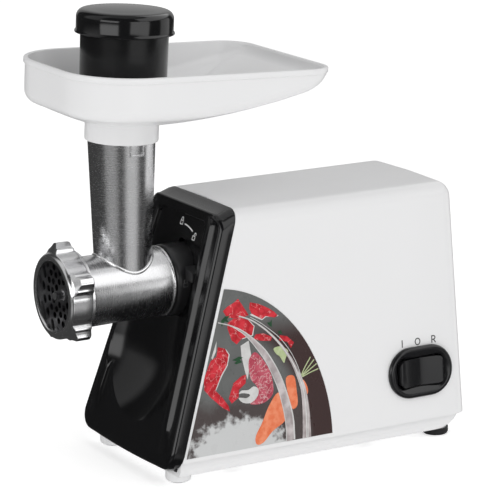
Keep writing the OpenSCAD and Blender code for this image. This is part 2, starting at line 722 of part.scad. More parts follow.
module output_shaft() color("silver") at_head() difference() {
    union() {
        rod(11, 49, 70.5, output_xz);
        hex_rod(shaft_hex[3], 70, 84.5, output_xz, turn_output);
        rod(shaft_round[3], 84, 110, output_xz);
    }
    hex_rod(tang_r + 0.1, 48, 62, output_xz);
}

// ---------------------------------------------------------------- grinding head

auger_pitch = 22;
flight_r = bore_r - 0.6;
flight_front = knife_rear + 0.5;
flight_rear = 30;
flight_twist = -360 * (flight_rear - flight_front) / auger_pitch;

// Section across the auger: a core with one flight that is wider at its root
function flight_section(core) = concat(
    [for (a = [45:30:315]) core * [cos(a), sin(a)]],
    [for (a = [-24:12:24]) flight_r * [cos(a), sin(a)]]);

module auger() color("silver") at_head() {
    along_y(flight_front, output_xz)
        linear_extrude(flight_rear - flight_front, twist = flight_twist, slices = 56)
            polygon(flight_section(9.5));
    rod(12, flight_rear, flight_rear + 2, output_xz);
    rod(8.9, flight_rear + 1, 48.5, output_xz);
    hex_rod(tang_r, 48, 61, output_xz);
    box([-4.9, 4.9], [plate_rear, flight_front + 1], [axis_z - 4.9, axis_z + 4.9]);
    rod(pin_r, plate_front, plate_rear + 1, output_xz);
    rod(pin_tip_r, plate_front - pin_out, plate_front + 1, output_xz);
}

module auger_bush() color("ivory") at_head() difference() {
    rod(12, 32.2, 35.2, output_xz);
    rod(9, 30, 40, output_xz);
}

function turned(p, a) = [p[0] * cos(a) - p[1] * sin(a), p[0] * sin(a) + p[1] * cos(a)];

// One of the knife's four arms, and the hub's edge up to the next
knife_arm = [[9, -4.6], [20, -5], [25.5, -1.5], [25.5, 2], [10, 4.3], [7.5, 5.9], [6.1, 7.3]];

module cross_knife() color("lightsteelblue") at_head() difference() {
    along_y(plate_rear, output_xz) linear_extrude(knife_t)
        polygon([for (k = [0:3]) each [for (p = knife_arm) turned(p, 90 * k + 20)]]);
    box([-5, 5], [plate_rear - 1, plate_rear + knife_t + 1], [axis_z - 5, axis_z + 5]);
}

module grinding_head() color("gainsboro") at_head() difference() {
    union() {
        rod(cup_r, cup_front, cup_rear, [0, axis_z]);
        cone_y(cup_r, barrel_r + barrel_taper, cup_rear, cup_rear + cup_taper, [0, axis_z]);
        cone_y(barrel_r + barrel_taper, barrel_r, cup_rear + cup_taper, barrel_rear - 2, [0, axis_z]);
        rod(flange_r, barrel_rear - 2, barrel_rear, [0, axis_z]);
        rod(spigot_r, barrel_rear - 1, spigot_rear, [0, axis_z]);
        for (k = [0:2]) intersection() {
            rod(bayonet_r, bayonet_y[0], bayonet_y[1], [0, axis_z]);
            along_y(bayonet_y[0], [0, axis_z]) rotate(120 * k + 90)
                translate([0, -4.5, 0]) cube([30, 9, 10]);
        }
        translate([0, 0, axis_z]) cylinder(r1 = 20.4, r2 = tube_r, h = collar_z - axis_z - 2, $fn = 96);
        translate([0, 0, collar_z - 2]) cylinder(r = tube_r, h = tube_top - collar_z + 2, $fn = 96);
    }
    rod(plate_r + 0.2, cup_front - 1, knife_rear + slack, [0, axis_z]);
    cone_y(plate_r + 0.2, bore_r, knife_rear + slack - 0.01, knife_rear + 4, [0, axis_z]);
    rod(bore_r, knife_rear + 3, flight_rear + 0.5, [0, axis_z]);
    rod(12.4, flight_rear - 1, 35.4, [0, axis_z]);
    rod(9.1, 30, spigot_rear + 1, [0, axis_z]);
    translate([0, 0, axis_z + 3]) cylinder(r1 = 17.9, r2 = 21.8, h = tube_top - axis_z - 2, $fn = 96);
}

// Perforated plate: a centre hole for the auger's pin and rings of holes round it
module cutting_plate() color("slategray") at_head() difference() {
    rod(plate_r, plate_front, plate_rear, output_xz);
    rod(pin_r + gap, plate_front - 1, plate_rear + 1, output_xz);
    for (ring = [[10, 9], [16, 14], [22, 20]]) for (k = [0:ring[1] - 1])
        rod(2.4, plate_front - 1, plate_rear + 1,
            output_xz + ring[0] * [cos(360 * k / ring[1]), sin(360 * k / ring[1])]);
}

// Outline of one grip lug, which has a shoulder on both sides
lug_ledge = 34.8;
lug_side = [[nut_r - 3, 9.6], [nut_r + 0.4, 8.2], [lug_ledge, 6.8], [lug_ledge + 0.2, 5.2], [lug_r, 2.1]];
lug_outline = concat([for (p = lug_side) [p[0], -p[1]]], [for (i = [4:-1:0]) lug_side[i]]);

module ring_nut() color("gainsboro") at_head() difference() {
    union() {
        cone_y(nut_r - 1.6, nut_r, nut_front, nut_front + 1.6, [0, axis_z]);
        rod(nut_r, nut_front + 1.6, nut_rear, [0, axis_z]);
        intersection() {
            for (k = [0:lug_count - 1]) along_y(nut_front + 0.8, [0, axis_z])
                rotate(first_lug + 360 * k / lug_count)
                    linear_extrude(nut_rear - nut_front - 3) polygon(lug_outline);
            cone_y(nut_r - 0.6, lug_r + 15, nut_front, nut_rear, [0, axis_z]);
        }
    }
    rod(nut_mouth_r, nut_front - 1, nut_front + nut_lip + 1, [0, axis_z]);
    rod(cup_r + gap, nut_front + nut_lip, nut_rear + 1, [0, axis_z]);
}

// ---------------------------------------------------------------- tray and pusher

// Frame of the tray and pusher: on the tube's axis, sagging to the rear
module on_tray() { translate([0, 0, collar_z]) rotate([-tray_sag, 0, 0]) children(); }

tray_wall = 2.2;
front_round = 47;
back_round = 22;
seat_h = 15;             // underside of the floor round the feed hole
floor_h = 22.8;          // underside of the floor at the tray's sides

// Half width of the tray at y, and height of its lower edge there
function tray_width(y) = y < front_round - tray_front
    ? tray_half - front_round + sqrt(max(0, pow(front_round, 2) - pow(y + tray_front - front_round, 2)))
    : y > tray_rear - back_round
    ? tray_half - back_round + sqrt(max(0, pow(back_round, 2) - pow(y - tray_rear + back_round, 2)))
    : tray_half;
function tray_edge(y) = floor_h + (y > 0 ? 0.0012 : 0.0035) * y * y;

// Plan outline of the tray with round corners, inset by the given amount
function corner(cx, cy, r, from) = [for (a = [0:10:90]) [cx + r * cos(from + a), cy + r * sin(from + a)]];
function tray_outline(inset) = let (
        xf = tray_half - front_round, xb = tray_half - back_round,
        yf = front_round - tray_front, yb = tray_rear - back_round)
    concat(corner(xb, yb, back_round - inset, 0), corner(-xb, yb, back_round - inset, 90),
        corner(-xf, yf, front_round - inset, 180), corner(xf, yf, front_round - inset, 270));

module tray_block(inset, top) {
    edge_r = 7 - inset;
    hull() {
        translate([0, 0, rim_h - 5]) linear_extrude(5 + top) polygon(tray_outline(inset + 1.2));
        for (s = [-1, 1]) for (y = [-54, -44, -24, 0, 40, 80, 112, 129])
            translate([s * (tray_width(y) - 8.2), y, tray_edge(y) + 7]) sphere(r = edge_r, $fn = 16);
        translate([0, 0, seat_h + inset]) cylinder(r = 34 - inset, h = 3, $fn = 32);
    }
}

module tray() color("white") at_head() on_tray() difference() {
    union() {
        difference() {
            union() {
                tray_block(0, 0);
                translate([0, 0, rim_h - 4]) linear_extrude(4) polygon(tray_outline(0));
            }
            tray_block(tray_wall, 1);
        }
        cylinder(r = 26.8, h = seat_h + 1.5, $fn = 96);
        translate([0, 0, seat_h - 1.4]) cylinder(r = 28, h = 2, $fn = 96);
    }
    translate([0, 0, -1]) cylinder(r = 25.5, h = seat_h + 1, $fn = 96);
    cylinder(r = 20.6, h = 40, $fn = 96);
}

seat_top = seat_h + tray_wall;
cap_z = 77.5;
plunger_r = 17.2;

module pusher_body() color("#151515") at_head() on_tray() rotate_extrude($fn = 96) polygon([
    [0, -46], [plunger_r - 1.5, -46], [plunger_r, -44.5], [plunger_r, seat_top + 0.2],
    [pusher_r - 1.5, seat_top + 0.2], [pusher_r, seat_top + 1.7], [pusher_r, cap_z - 0.1],
    [pusher_r - 2, cap_z - 0.1], [pusher_r - 2, seat_top + 2.4], [plunger_r - 2, seat_top + 2.4],
    [plunger_r - 2, -44], [0, -44]]);

cap_r = 35;
cap_h = 18;
cap_edge = 5;

module pusher_cap() color("black") at_head() on_tray() translate([0, 0, cap_z]) rotate_extrude($fn = 96)
    polygon(concat([[0, cap_h - 2.2], [cap_r - 4, cap_h - 4], [cap_r - 4, 2.2], [pusher_r - 4.2, 2.2],
        [pusher_r - 4.2, -6], [pusher_r - 2.4, -6], [pusher_r - 2.4, 0],
        [cap_r + 1.1, 0], [cap_r + 1.1, 1.8], [cap_r, 2.4]],
        [for (a = [0:15:90])
            [cap_r - cap_edge + cap_edge * cos(a), cap_h - 1 - cap_edge + cap_edge * sin(a)]],
        [[0, cap_h]]));

// ---------------------------------------------------------------- nodes

main_housing();
base_plate();
rubber_feet();
front_fascia();
head_socket();
release_button();
side_foil();
switch_bezel();
switch_body();
switch_rocker();
cord_gland();
circuit_board();
filter_capacitor();
wiring();
base_screws();
socket_screws();
gearbox_housing();
gearbox_cover();
gearbox_screws();
output_bush();
shaft_bushes();
stator_core();
field_coils();
motor_bracket();
motor_screws();
motor_bearings();
brush_holders();
carbon_brushes();
motor_shaft();
armature_core();
armature_winding();
commutator();
cooling_fan();
motor_pinion();
first_gear();
first_shaft();
second_pinion();
second_gear();
second_shaft();
third_pinion();
output_gear();
output_shaft();
auger();
auger_bush();
cross_knife();
grinding_head();
cutting_plate();
ring_nut();
tray();
pusher_body();
pusher_cap();
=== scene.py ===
"""Electric meat grinder: finished shapes, materials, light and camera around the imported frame.

Shapes are written in millimetres in the head's frame: X to the right, Y to the rear from the feed
tube's axis, Z up from the table. Matrices carry them into the frame's metres.
"""

import json
import math

import bmesh
import bpy
from mathutils import Matrix, Vector


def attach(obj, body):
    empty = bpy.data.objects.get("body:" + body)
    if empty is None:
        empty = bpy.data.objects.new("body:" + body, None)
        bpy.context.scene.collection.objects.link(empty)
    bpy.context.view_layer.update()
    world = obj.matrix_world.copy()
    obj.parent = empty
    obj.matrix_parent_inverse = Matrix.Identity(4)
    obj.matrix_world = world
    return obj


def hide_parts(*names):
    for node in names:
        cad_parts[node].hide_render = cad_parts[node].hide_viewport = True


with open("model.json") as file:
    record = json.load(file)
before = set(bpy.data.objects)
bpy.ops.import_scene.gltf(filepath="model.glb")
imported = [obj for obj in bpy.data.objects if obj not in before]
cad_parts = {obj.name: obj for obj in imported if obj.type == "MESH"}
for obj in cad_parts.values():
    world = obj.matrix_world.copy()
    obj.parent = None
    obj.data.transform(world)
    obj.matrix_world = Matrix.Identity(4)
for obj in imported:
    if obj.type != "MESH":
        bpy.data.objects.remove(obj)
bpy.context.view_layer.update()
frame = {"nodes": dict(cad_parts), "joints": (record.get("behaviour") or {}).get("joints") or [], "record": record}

# ---------------------------------------------------------------- sizes, in mm and degrees

MM = 0.001
# The head turns about the barrel's axis; the record gives that joint's place, 40 mm behind the tube
HEAD_LOCK = next(joint for joint in frame["joints"] if joint["name"] == "head_lock")["pos_m"]
HEAD_Y = HEAD_LOCK[1] / MM - 40
AXIS_Z = HEAD_LOCK[2] / MM
HEAD_TURN = 31  # from locked to where the bayonet's lugs come out

HALF_LOW, HALF_TOP = 68.5, 52.5  # half widths of the housing at its foot and its top
TOP_Z = 196
SIDE_Z = 18  # where the side faces begin, over the base
REAR_Y = 262
REAR_LEAN = 5  # how far the rear face leans forward up to the top
BODY_ROUND = 12
WALL = 2.6
SIDE_LEAN = math.degrees(
    math.atan((HALF_LOW - HALF_TOP + BODY_ROUND) / (TOP_Z - BODY_ROUND - SIDE_Z))
    - math.asin(BODY_ROUND / math.hypot(HALF_LOW - HALF_TOP + BODY_ROUND, TOP_Z - BODY_ROUND - SIDE_Z))
)
FRONT_FOOT = 10.5  # y of the housing's slanted front at SIDE_Z
FRONT_LEAN = 17.7
PANEL_W = 10.8  # height of the fascia's panel over the housing's front
RIM_W = 13.8  # height of its raised side rims
COLLAR_Z = 246.4  # foot of the tray's collar
TRAY_SAG = 2.6  # the tray leans down to the rear by this angle
SWITCH_AT = (218.5, 38)  # along and up the side face
VENT_COUNT, VENT_PITCH, VENT_LOW = 7, 8, 97.75  # air slots in the rear face
CORD_ENTRY = (-30, 34, 6.2)  # x, z and radius of the hole for the cord's gland
FOOT_X, FRONT_FOOT_Y, REAR_FOOT_Y = 51, 16.6, 243
SCREW_POSTS = ((-51, 62), (51, 62), (-50, 178), (50, 178))

# ---------------------------------------------------------------- frames


def turn(degrees, axis):
    return Matrix.Rotation(math.radians(degrees), 4, axis)


def axes(x, y, z):
    """Rotation whose columns are the given axes."""
    return Matrix((x, y, z)).transposed().to_4x4()


def head_frame(x, y, z):
    return AT_HEAD @ Matrix.Translation((x, y, z))


AT_HEAD = Matrix.Translation((0, HEAD_Y * MM, 0)) @ Matrix.Scale(MM, 4)
# Local y is up; local z looks to the rear, to the front or to the right
TO_REAR = axes((1, 0, 0), (0, 0, 1), (0, 1, 0))
TO_FRONT = axes((1, 0, 0), (0, 0, 1), (0, -1, 0))
TO_RIGHT = axes((0, 1, 0), (0, 0, 1), (1, 0, 0))
# Local z along +Y, local y up, about the barrel's axis
ON_AXIS = head_frame(0, 0, AXIS_Z) @ TO_REAR
# Local y up the slope, local z out of the front
ON_FRONT = head_frame(0, FRONT_FOOT, SIDE_Z) @ turn(90 - FRONT_LEAN, "X")
# Local x to the rear, local y up the right side, local z outwards
ON_SIDE = head_frame(HALF_LOW, 0, SIDE_Z) @ turn(-SIDE_LEAN, "Y") @ TO_RIGHT
ON_SWITCH = ON_SIDE @ Matrix.Translation((*SWITCH_AT, 0))
ON_TRAY = head_frame(0, 0, COLLAR_Z) @ turn(-TRAY_SAG, "X")

# ---------------------------------------------------------------- mesh building


def solid(shape, to=AT_HEAD, name="solid"):
    """An object from (points, faces), with its normals outwards."""
    points, faces = shape
    mesh = bpy.data.meshes.new(name)
    bm = bmesh.new()
    verts = [bm.verts.new(to @ Vector(p)) for p in points]
    for face in faces:
        bm.faces.new([verts[i] for i in face])
    bmesh.ops.remove_doubles(bm, verts=bm.verts, dist=0.002 * MM)
    bmesh.ops.recalc_face_normals(bm, faces=bm.faces)
    bm.to_mesh(mesh)
    bm.free()
    obj = bpy.data.objects.new(name, mesh)
    bpy.context.scene.collection.objects.link(obj)
    return obj


def loft(rings, closed=False):
    """A skin through rings of equally many points. closed joins the last ring to the first."""
    n = len(rings[0])
    points = [p for ring in rings for p in ring]
    spans = len(rings) if closed else len(rings) - 1
    faces = []
    for i in range(spans):
        a, b = i * n, (i + 1) % len(rings) * n
        faces += [(a + k, a + (k + 1) % n, b + (k + 1) % n, b + k) for k in range(n)]
    if not closed:
        faces += [tuple(range(n))[::-1], tuple(range(len(points) - n, len(points)))]
    return points, faces


def turned(profile, to=AT_HEAD, steps=128, closed=False):
    """A turned body: the profile is (radius, height) about the local z axis."""
    angles = [2 * math.pi * k / steps for k in range(steps)]
    return solid(loft([polar([(a, r) for a in angles], h) for r, h in profile], closed), to)


def prism(outline, low, high):
    return loft([[(x, y, z) for x, y in outline] for z in (low, high)])


def block(x, y, z):
    corners = [(x[0], y[0]), (x[1], y[0]), (x[1], y[1]), (x[0], y[1])]
    return prism(corners, *z)


def arc(cx, cy, r, start, end, steps):
    """Points of an arc, with angles in degrees and both ends given."""
    angles = [math.radians(start + (end - start) * k / steps) for k in range(steps + 1)]
    return [(cx + r * math.cos(a), cy + r * math.sin(a)) for a in angles]


def polar(points, z):
    """Points at the height z, from (angle in radians, radius)."""
    return [(r * math.cos(a), r * math.sin(a), z) for a, r in points]


def round_rect(half_x, half_y, r, steps=8):
    x, y = half_x - r, half_y - r
    return (
        arc(x, -y, r, -90, 0, steps) + arc(x, y, r, 0, 90, steps)
        + arc(-x, y, r, 90, 180, steps) + arc(-x, -y, r, 180, 270, steps)
    )


def at_height(outline, z):
    return [(x, y, z) for x, y in outline]


def lerp(a, b, t):
    return a + (b - a) * t


def ease(t):
    t = min(max(t, 0), 1)
    return t * t * (3 - 2 * t)


def stroke(points, width, low, high, to):
    """A flat printed line along the points, between two heights over its plane."""
    left, right = [], []
    for k, (x, y) in enumerate(points):
        a, b = points[max(k - 1, 0)], points[min(k + 1, len(points) - 1)]
        length = math.hypot(b[0] - a[0], b[1] - a[1])
        wide = width(k / (len(points) - 1)) if callable(width) else width
        nx, ny = -(b[1] - a[1]) / length * wide / 2, (b[0] - a[0]) / length * wide / 2
        left.append((x + nx, y + ny))
        right.append((x - nx, y - ny))
    return solid(prism(left + right[::-1], low, high), to)


def settle(obj):
    """Takes the modifiers' result as the object's mesh."""
    graph = bpy.context.evaluated_depsgraph_get()
    mesh = bpy.data.meshes.new_from_object(obj.evaluated_get(graph))
    obj.modifiers.clear()
    obj.data = mesh
    return obj


def combine(obj, *others, operation="DIFFERENCE"):
    """Adds, cuts or intersects the others, which are used up."""
    for other in others:
        step = obj.modifiers.new("combine", "BOOLEAN")
        step.operation = operation
        step.solver = "EXACT"
        step.object = other
    settle(obj)
    for other in others:
        bpy.data.objects.remove(other)
    return obj


def cut(obj, *others):
    return combine(obj, *others)


def add(obj, *others):
    return combine(obj, *others, operation="UNION")


def joined(objects):
    """One object from several separate bodies."""
    bm = bmesh.new()
    for obj in objects:
        bm.from_mesh(obj.data)
    mesh = bpy.data.meshes.new("joined")
    bm.to_mesh(mesh)
    bm.free()
    for obj in objects[1:]:
        bpy.data.objects.remove(obj)
    objects[0].data = mesh
    return objects[0]


def smooth(obj, sharp=32):
    mesh = obj.data
    mesh.polygons.foreach_set("use_smooth", [True] * len(mesh.polygons))
    mesh.set_sharp_from_angle(angle=math.radians(sharp))
    return obj


def soften(obj, width, segments=3, angle=38):
    """Rounds the edges with a live bevel."""
    bevel = obj.modifiers.new("edges", "BEVEL")
    bevel.width = width * MM
    bevel.segments = segments
    bevel.limit_method = "ANGLE"
    bevel.angle_limit = math.radians(angle)
    bevel.miter_outer = "MITER_ARC"
    bevel.harden_normals = True
    return obj


# ---------------------------------------------------------------- materials


class Nodes:
    """Short names for building one node tree."""

    def __init__(self, tree):
        self.tree = tree

    def new(self, kind, inputs=(), **settings):
        node = self.tree.nodes.new(kind)
        for key, value in settings.items():
            setattr(node, key, value)
        for key, value in dict(inputs).items():
            if isinstance(value, bpy.types.NodeSocket):
                self.tree.links.new(value, node.inputs[key])
            else:
                node.inputs[key].default_value = value
        return node

    def math(self, operation, a, b=0.0):
        return self.new("ShaderNodeMath", {0: a, 1: b}, operation=operation).outputs[0]

    def ramp(self, value, low, high, to_low=0.0, to_high=1.0):
        inputs = {"Value": value, "From Min": low, "From Max": high, "To Min": to_low, "To Max": to_high}
        node = self.new("ShaderNodeMapRange", inputs, interpolation_type="SMOOTHSTEP")
        return node.outputs["Result"]

    def blend(self, factor, a, b):
        """A number between a and b."""
        return self.new("ShaderNodeMix", {0: factor, 2: a, 3: b}, data_type="FLOAT").outputs[0]

    def object_axis(self, axis):
        where = self.new("ShaderNodeTexCoord").outputs["Object"]
        return self.new("ShaderNodeSeparateXYZ", {0: where}).outputs[axis]

    def mix(self, factor, a, b):
        node = self.new("ShaderNodeMix", data_type="RGBA")
        for socket, value in ((node.inputs[0], factor), (node.inputs[6], a), (node.inputs[7], b)):
            if isinstance(value, bpy.types.NodeSocket):
                self.tree.links.new(value, socket)
            else:
                socket.default_value = value
        return node.outputs[2]

    def noise(self, size, detail=3.0, stretch=(1, 1, 1), lift=0.0):
        """Noise whose features are about size mm across, divided by stretch along each axis."""
        where = self.new("ShaderNodeTexCoord").outputs["Object"]
        scale = [s / (size * MM) for s in stretch]
        inputs = {"Vector": where, "Scale": scale, "Location": (lift, lift, lift)}
        mapped = self.new("ShaderNodeMapping", inputs)
        inputs = {"Vector": mapped.outputs[0], "Scale": 1.0, "Detail": detail}
        return self.new("ShaderNodeTexNoise", inputs).outputs["Fac"]


def shade(colour, factor=1.0):
    return tuple(min(max(c * factor, 0), 1) for c in colour) + (1.0,)


def empty_material(name):
    """A new material and the builder of its empty node tree."""
    material = bpy.data.materials.new(name)
    material.use_nodes = True
    material.node_tree.nodes.clear()
    return material, Nodes(material.node_tree)


def surface(name, colour, rough, metal=0.0, spread=0.06, tint=0.05, grain=0.25, grain_mm=0.8,
            depth=0.02, stretch=(1, 1, 1), coat=0.0, worn=0.0):
    """A procedural finish. spread varies the gloss, tint the colour, and grain the relief."""
    material, n = empty_material(name)
    broad = n.noise(26, 4.0)
    fine = n.noise(grain_mm, 2.0, stretch, 3.1)
    base = n.mix(broad, shade(colour, 1 - tint), shade(colour, 1 + tint))
    if worn:
        edge = n.ramp(n.new("ShaderNodeNewGeometry").outputs["Pointiness"], 0.505, 0.56)
        base = n.mix(n.math("MULTIPLY", edge, worn), base, shade(colour, 1.35))
    gloss = n.ramp(n.noise(9, 5.0, lift=7.7), 0.3, 0.7, rough * (1 - spread), rough * (1 + spread))
    relief = n.new("ShaderNodeBump", {"Height": fine, "Strength": grain, "Distance": depth * MM})
    body = n.new("ShaderNodeBsdfPrincipled", {
        "Base Color": base, "Roughness": gloss, "Metallic": metal, "IOR": 1.5, "Coat Weight": coat,
        "Coat Roughness": 0.06, "Specular IOR Level": 0.5, "Normal": relief.outputs[0]})
    n.new("ShaderNodeOutputMaterial", {"Surface": body.outputs[0]})
    return material


def dress(obj, material):
    obj.data.materials.clear()
    obj.data.materials.append(material)
    return obj


def piece(obj, name, body, slot, material, *nodes, sharp=32):
    """Names a finished shape and fixes it to its body, in place of the CAD nodes it stands for."""
    obj.name = name
    obj.data.name = name
    smooth(obj, sharp)
    dress(obj, material)
    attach(obj, body)
    if nodes:
        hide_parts(*nodes)
    return obj


def moulded(name, colour, rough, grain, grain_mm, depth, tint=0.2):
    """A moulded plastic or rubber."""
    return surface(name, colour, rough, tint=tint, grain=grain, grain_mm=grain_mm, depth=depth)


WHITE = moulded("moulded_white", (0.80, 0.80, 0.805), 0.30, 0.04, 0.9, 0.01, 0.004)
PIANO = moulded("piano_black", (0.0045, 0.0045, 0.005), 0.12, 0.03, 1.6, 0.010)
SATIN = moulded("satin_black", (0.014, 0.014, 0.015), 0.30, 0.15, 0.5, 0.02)
SATIN_GLOSS = moulded("switch_gloss", (0.010, 0.010, 0.011), 0.20, 0.2, 0.6, 0.02)
RUBBER = moulded("rubber_black", (0.012, 0.012, 0.013), 0.55, 0.35, 0.4, 0.05, 0.25)
PUSHER = moulded("pusher_black", (0.0075, 0.0075, 0.008), 0.22, 0.08, 1.2, 0.012)
CAP = moulded("cap_black", (0.006, 0.006, 0.0065), 0.12, 0.05, 1.5, 0.010)
PRINT = surface("print_white", (0.82, 0.82, 0.82), 0.45, tint=0.04, grain=0.2, grain_mm=0.3)
MOULD_MARK = surface("moulded_mark", (0.10, 0.10, 0.102), 0.35, tint=0.1)
PRINT_DARK = surface("print_dark", (0.03, 0.03, 0.032), 0.45, tint=0.1, grain=0.2, grain_mm=0.3)
STEEL = surface("turned_steel", (0.50, 0.50, 0.51), 0.30, metal=1.0, spread=0.2, grain=0.5, grain_mm=0.35,
                stretch=(0.05, 1, 0.05), worn=0.3)

# ---------------------------------------------------------------- housing


def housing_section(inset):
    """Half of the housing's cross-section (x, z), from the lower edge to the middle of the top."""
    lean = math.radians(SIDE_LEAN)
    r = max(BODY_ROUND - inset, 0.02)
    cx, cz = HALF_TOP - BODY_ROUND, TOP_Z - BODY_ROUND
    foot = (HALF_LOW - inset / math.cos(lean), SIDE_Z)
    corner = arc(cx, cz, r, SIDE_LEAN, 89, 10)
    crown = 0.8
    side = [(lerp(foot[0], corner[0][0], t / 8), lerp(foot[1], corner[0][1], t / 8)) for t in range(8)]
    top = [(cx * (1 - t / 6), cz + r + crown * t / 6) for t in range(1, 7)]
    return side + corner + top


def make_housing():
    lean = math.tan(math.radians(FRONT_LEAN))

    def station(inset, place):
        half = housing_section(inset)
        section = half + [(-x, z) for x, z in half[-2::-1]]
        ring = []
        for x, z in section:
            front = FRONT_FOOT + (z - SIDE_Z) * lean
            rear = REAR_Y - REAR_LEAN * (z - SIDE_Z) / (TOP_Z - SIDE_Z)
            ring.append((x, place(front, rear), z))
        return ring

    rings = [
        station(0, lambda front, rear, t=t: lerp(front, rear - BODY_ROUND, t / 6)) for t in range(7)
    ]
    for k in range(1, 9):
        a = math.radians(90 * k / 8)
        inset = BODY_ROUND * (1 - math.cos(a))
        rings.append(station(inset, lambda front, rear, a=a: rear - BODY_ROUND * (1 - math.sin(a))))
    n = len(rings[0])
    points = [p for ring in rings for p in ring]
    faces = []
    for i in range(len(rings) - 1):
        faces += [(i * n + k, i * n + k + 1, (i + 1) * n + k + 1, (i + 1) * n + k) for k in range(n - 1)]
    faces.append(tuple(range(len(points) - n, len(points))))
    shell = solid((points, faces), name="housing_shell")
    wall = shell.modifiers.new("wall", "SOLIDIFY")
    wall.thickness = WALL * MM
    wall.offset = -1
    wall.use_even_offset = True
    settle(shell)
    vents = []
    for k in range(VENT_COUNT):
        to = head_frame(0, REAR_Y + 10, VENT_LOW + VENT_PITCH * k) @ TO_FRONT
        vents.append(solid(prism(round_rect(24, 1.75, 1.74, 6), 0, 30), to))
    switch_hole = solid(prism(round_rect(21.5, 12.5, 1), -12, 6), ON_SWITCH)
    cord_x, cord_z, cord_r = CORD_ENTRY
    cord_hole = turned([(0, -12), (cord_r, -12), (cord_r, 6), (0, 6)],
                       head_frame(cord_x, REAR_Y, cord_z) @ TO_REAR, 48)
    cut(shell, *vents, switch_hole, cord_hole)
    soften(shell, 0.5, 3, 50)
    piece(shell, "housing_shell", "machine", "white_shell", WHITE, "main_housing")


make_housing()


def make_base():
    """The base under the housing: a cove below the seam, a lip, and a rear edge that is rounded up."""
    profile = [(18, 2.2), (16.4, 2.1), (15, 1.8), (14, 1.3), (13.2, 0.8), (12.4, 0.4), (11, 0.3), (9.4, 0.3),
               (8.6, 0.5), (8.2, 0.9), (8, 1.5)]
    rear_r, rear_top = 22, 30

    def outline(inset, rear):
        half_x, r = HALF_LOW - inset, BODY_ROUND - inset
        y = REAR_Y - rear - r
        near = [(-half_x, -2), (half_x, -2)]
        return arc(half_x - r, y, r, 0, 90, 8) + arc(r - half_x, y, r, 90, 180, 8) + near

    rings = []
    for z, inset in profile:
        rear = rear_r - math.sqrt(max(0.0, rear_r**2 - (rear_top - z) ** 2))
        rings.append(at_height(outline(inset, max(rear, inset)), z))
    base = solid(loft(rings))
    hollow = solid(prism(outline(5, 17), 10.6, 19))
    lean = math.tan(math.radians(FRONT_LEAN))
    ahead = -131  # anywhere well in front of the base
    front = solid(loft([[(x, FRONT_FOOT + 0.3 + (z - SIDE_Z) * lean, z) for z in (0, 30)]
                        + [(x, ahead, z) for z in (30, 0)] for x in (-90, 90)]))
    slot = round_rect(26, 1.75, 1.7, 5)
    slots = [solid(prism([(x, 151.7 + 9 * k + y) for x, y in slot], 7, 12)) for k in range(-4, 5)]
    posts, holes = [], []
    for x, y in SCREW_POSTS:
        to = head_frame(x, y, 0)
        posts.append(turned([(0, 8), (6.5, 8), (6.5, 18), (0, 18)], to, 48))
        holes.append(turned([(0, 7), (4.4, 7), (4.4, 13), (2.2, 13), (2.2, 19), (0, 19)], to, 48))
    front_stub = [(0, 0.8), (8.2, 0.8), (9.0, 1.5), (9.4, 2.6), (9.4, 9), (0, 9)]
    rear_stub = [(0, 5), (8.2, 5), (8.3, 7.6), (8.8, 8.6), (10.2, 9.4), (10.6, 10.2), (10.6, 14), (0, 14)]
    for x in (-FOOT_X, FOOT_X):
        at_front = head_frame(x, FRONT_FOOT_Y, 0)
        posts.append(turned(front_stub, at_front, 64))
        posts.append(turned(rear_stub, head_frame(x, REAR_FOOT_Y, 0), 64))
        holes.append(turned([(0, -1), (6.6, -1), (6.6, 3), (0, 3)], at_front, 48))
    cut(base, hollow, front)
    add(base, *posts)
    cut(base, *holes, *slots)
    soften(base, 0.3, 2, 50)
    piece(base, "base_shell", "machine", "base_white", WHITE, "base_plate")


make_base()

# ---------------------------------------------------------------- black front

FASCIA_LOW = -8
FASCIA_HIGH = (TOP_Z - SIDE_Z) / math.cos(math.radians(FRONT_LEAN))
SIDE_NORMAL = 5.62  # degrees from level of the fascia's side lines
SIDE_REACH = 69.42  # distance of those lines from the foot's middle
AXIS_UP = (AXIS_Z - SIDE_Z) / math.cos(math.radians(FRONT_LEAN))


def fascia_ring(side, bottom, top, low_r, high_r):
    """One closed ring of the fascia. side, bottom and top are its (inset, height) there."""
    nx, ny = math.cos(math.radians(SIDE_NORMAL)), math.sin(math.radians(SIDE_NORMAL))
    reach = SIDE_REACH - side[0]
    low_v, high_v = FASCIA_LOW + bottom[0], FASCIA_HIGH - top[0]

    def on_side(v, r):
        return (reach - r - ny * v) / nx

    low_c = (on_side(low_v + low_r, low_r), low_v + low_r)
    high_c = (on_side(high_v - high_r, high_r), high_v - high_r)
    low_arc = arc(*low_c, low_r, -90, SIDE_NORMAL, 10)
    high_arc = arc(*high_c, high_r, SIDE_NORMAL, 90, 10)
    # Each point is (across, up the slope, how far it belongs to the top edge)
    half = [(low_c[0] * t / 8, low_v, 0) for t in range(8)]
    half += [(*p, 0) for p in low_arc]
    start, end = low_arc[-1], high_arc[0]
    half += [(lerp(start[0], end[0], t / 26), lerp(start[1], end[1], t / 26), 0) for t in range(1, 26)]
    half += [(*p, k / 10) for k, p in enumerate(high_arc)]
    half += [(high_c[0] * (1 - t / 6), high_v, 1) for t in range(1, 7)]
    points = []
    for u, v, upper in half:
        rise = ease((v - 2) / 22)
        height = lerp(lerp(bottom[1], side[1], rise), top[1], ease(upper))
        belly = 1.2 * max(0, 1 - (u / 52) ** 2) if v < FASCIA_LOW + 8 else 0
        points.append((u, v - belly, height))
    return points + [(-u, v, w) for u, v, w in points[-2:0:-1]]


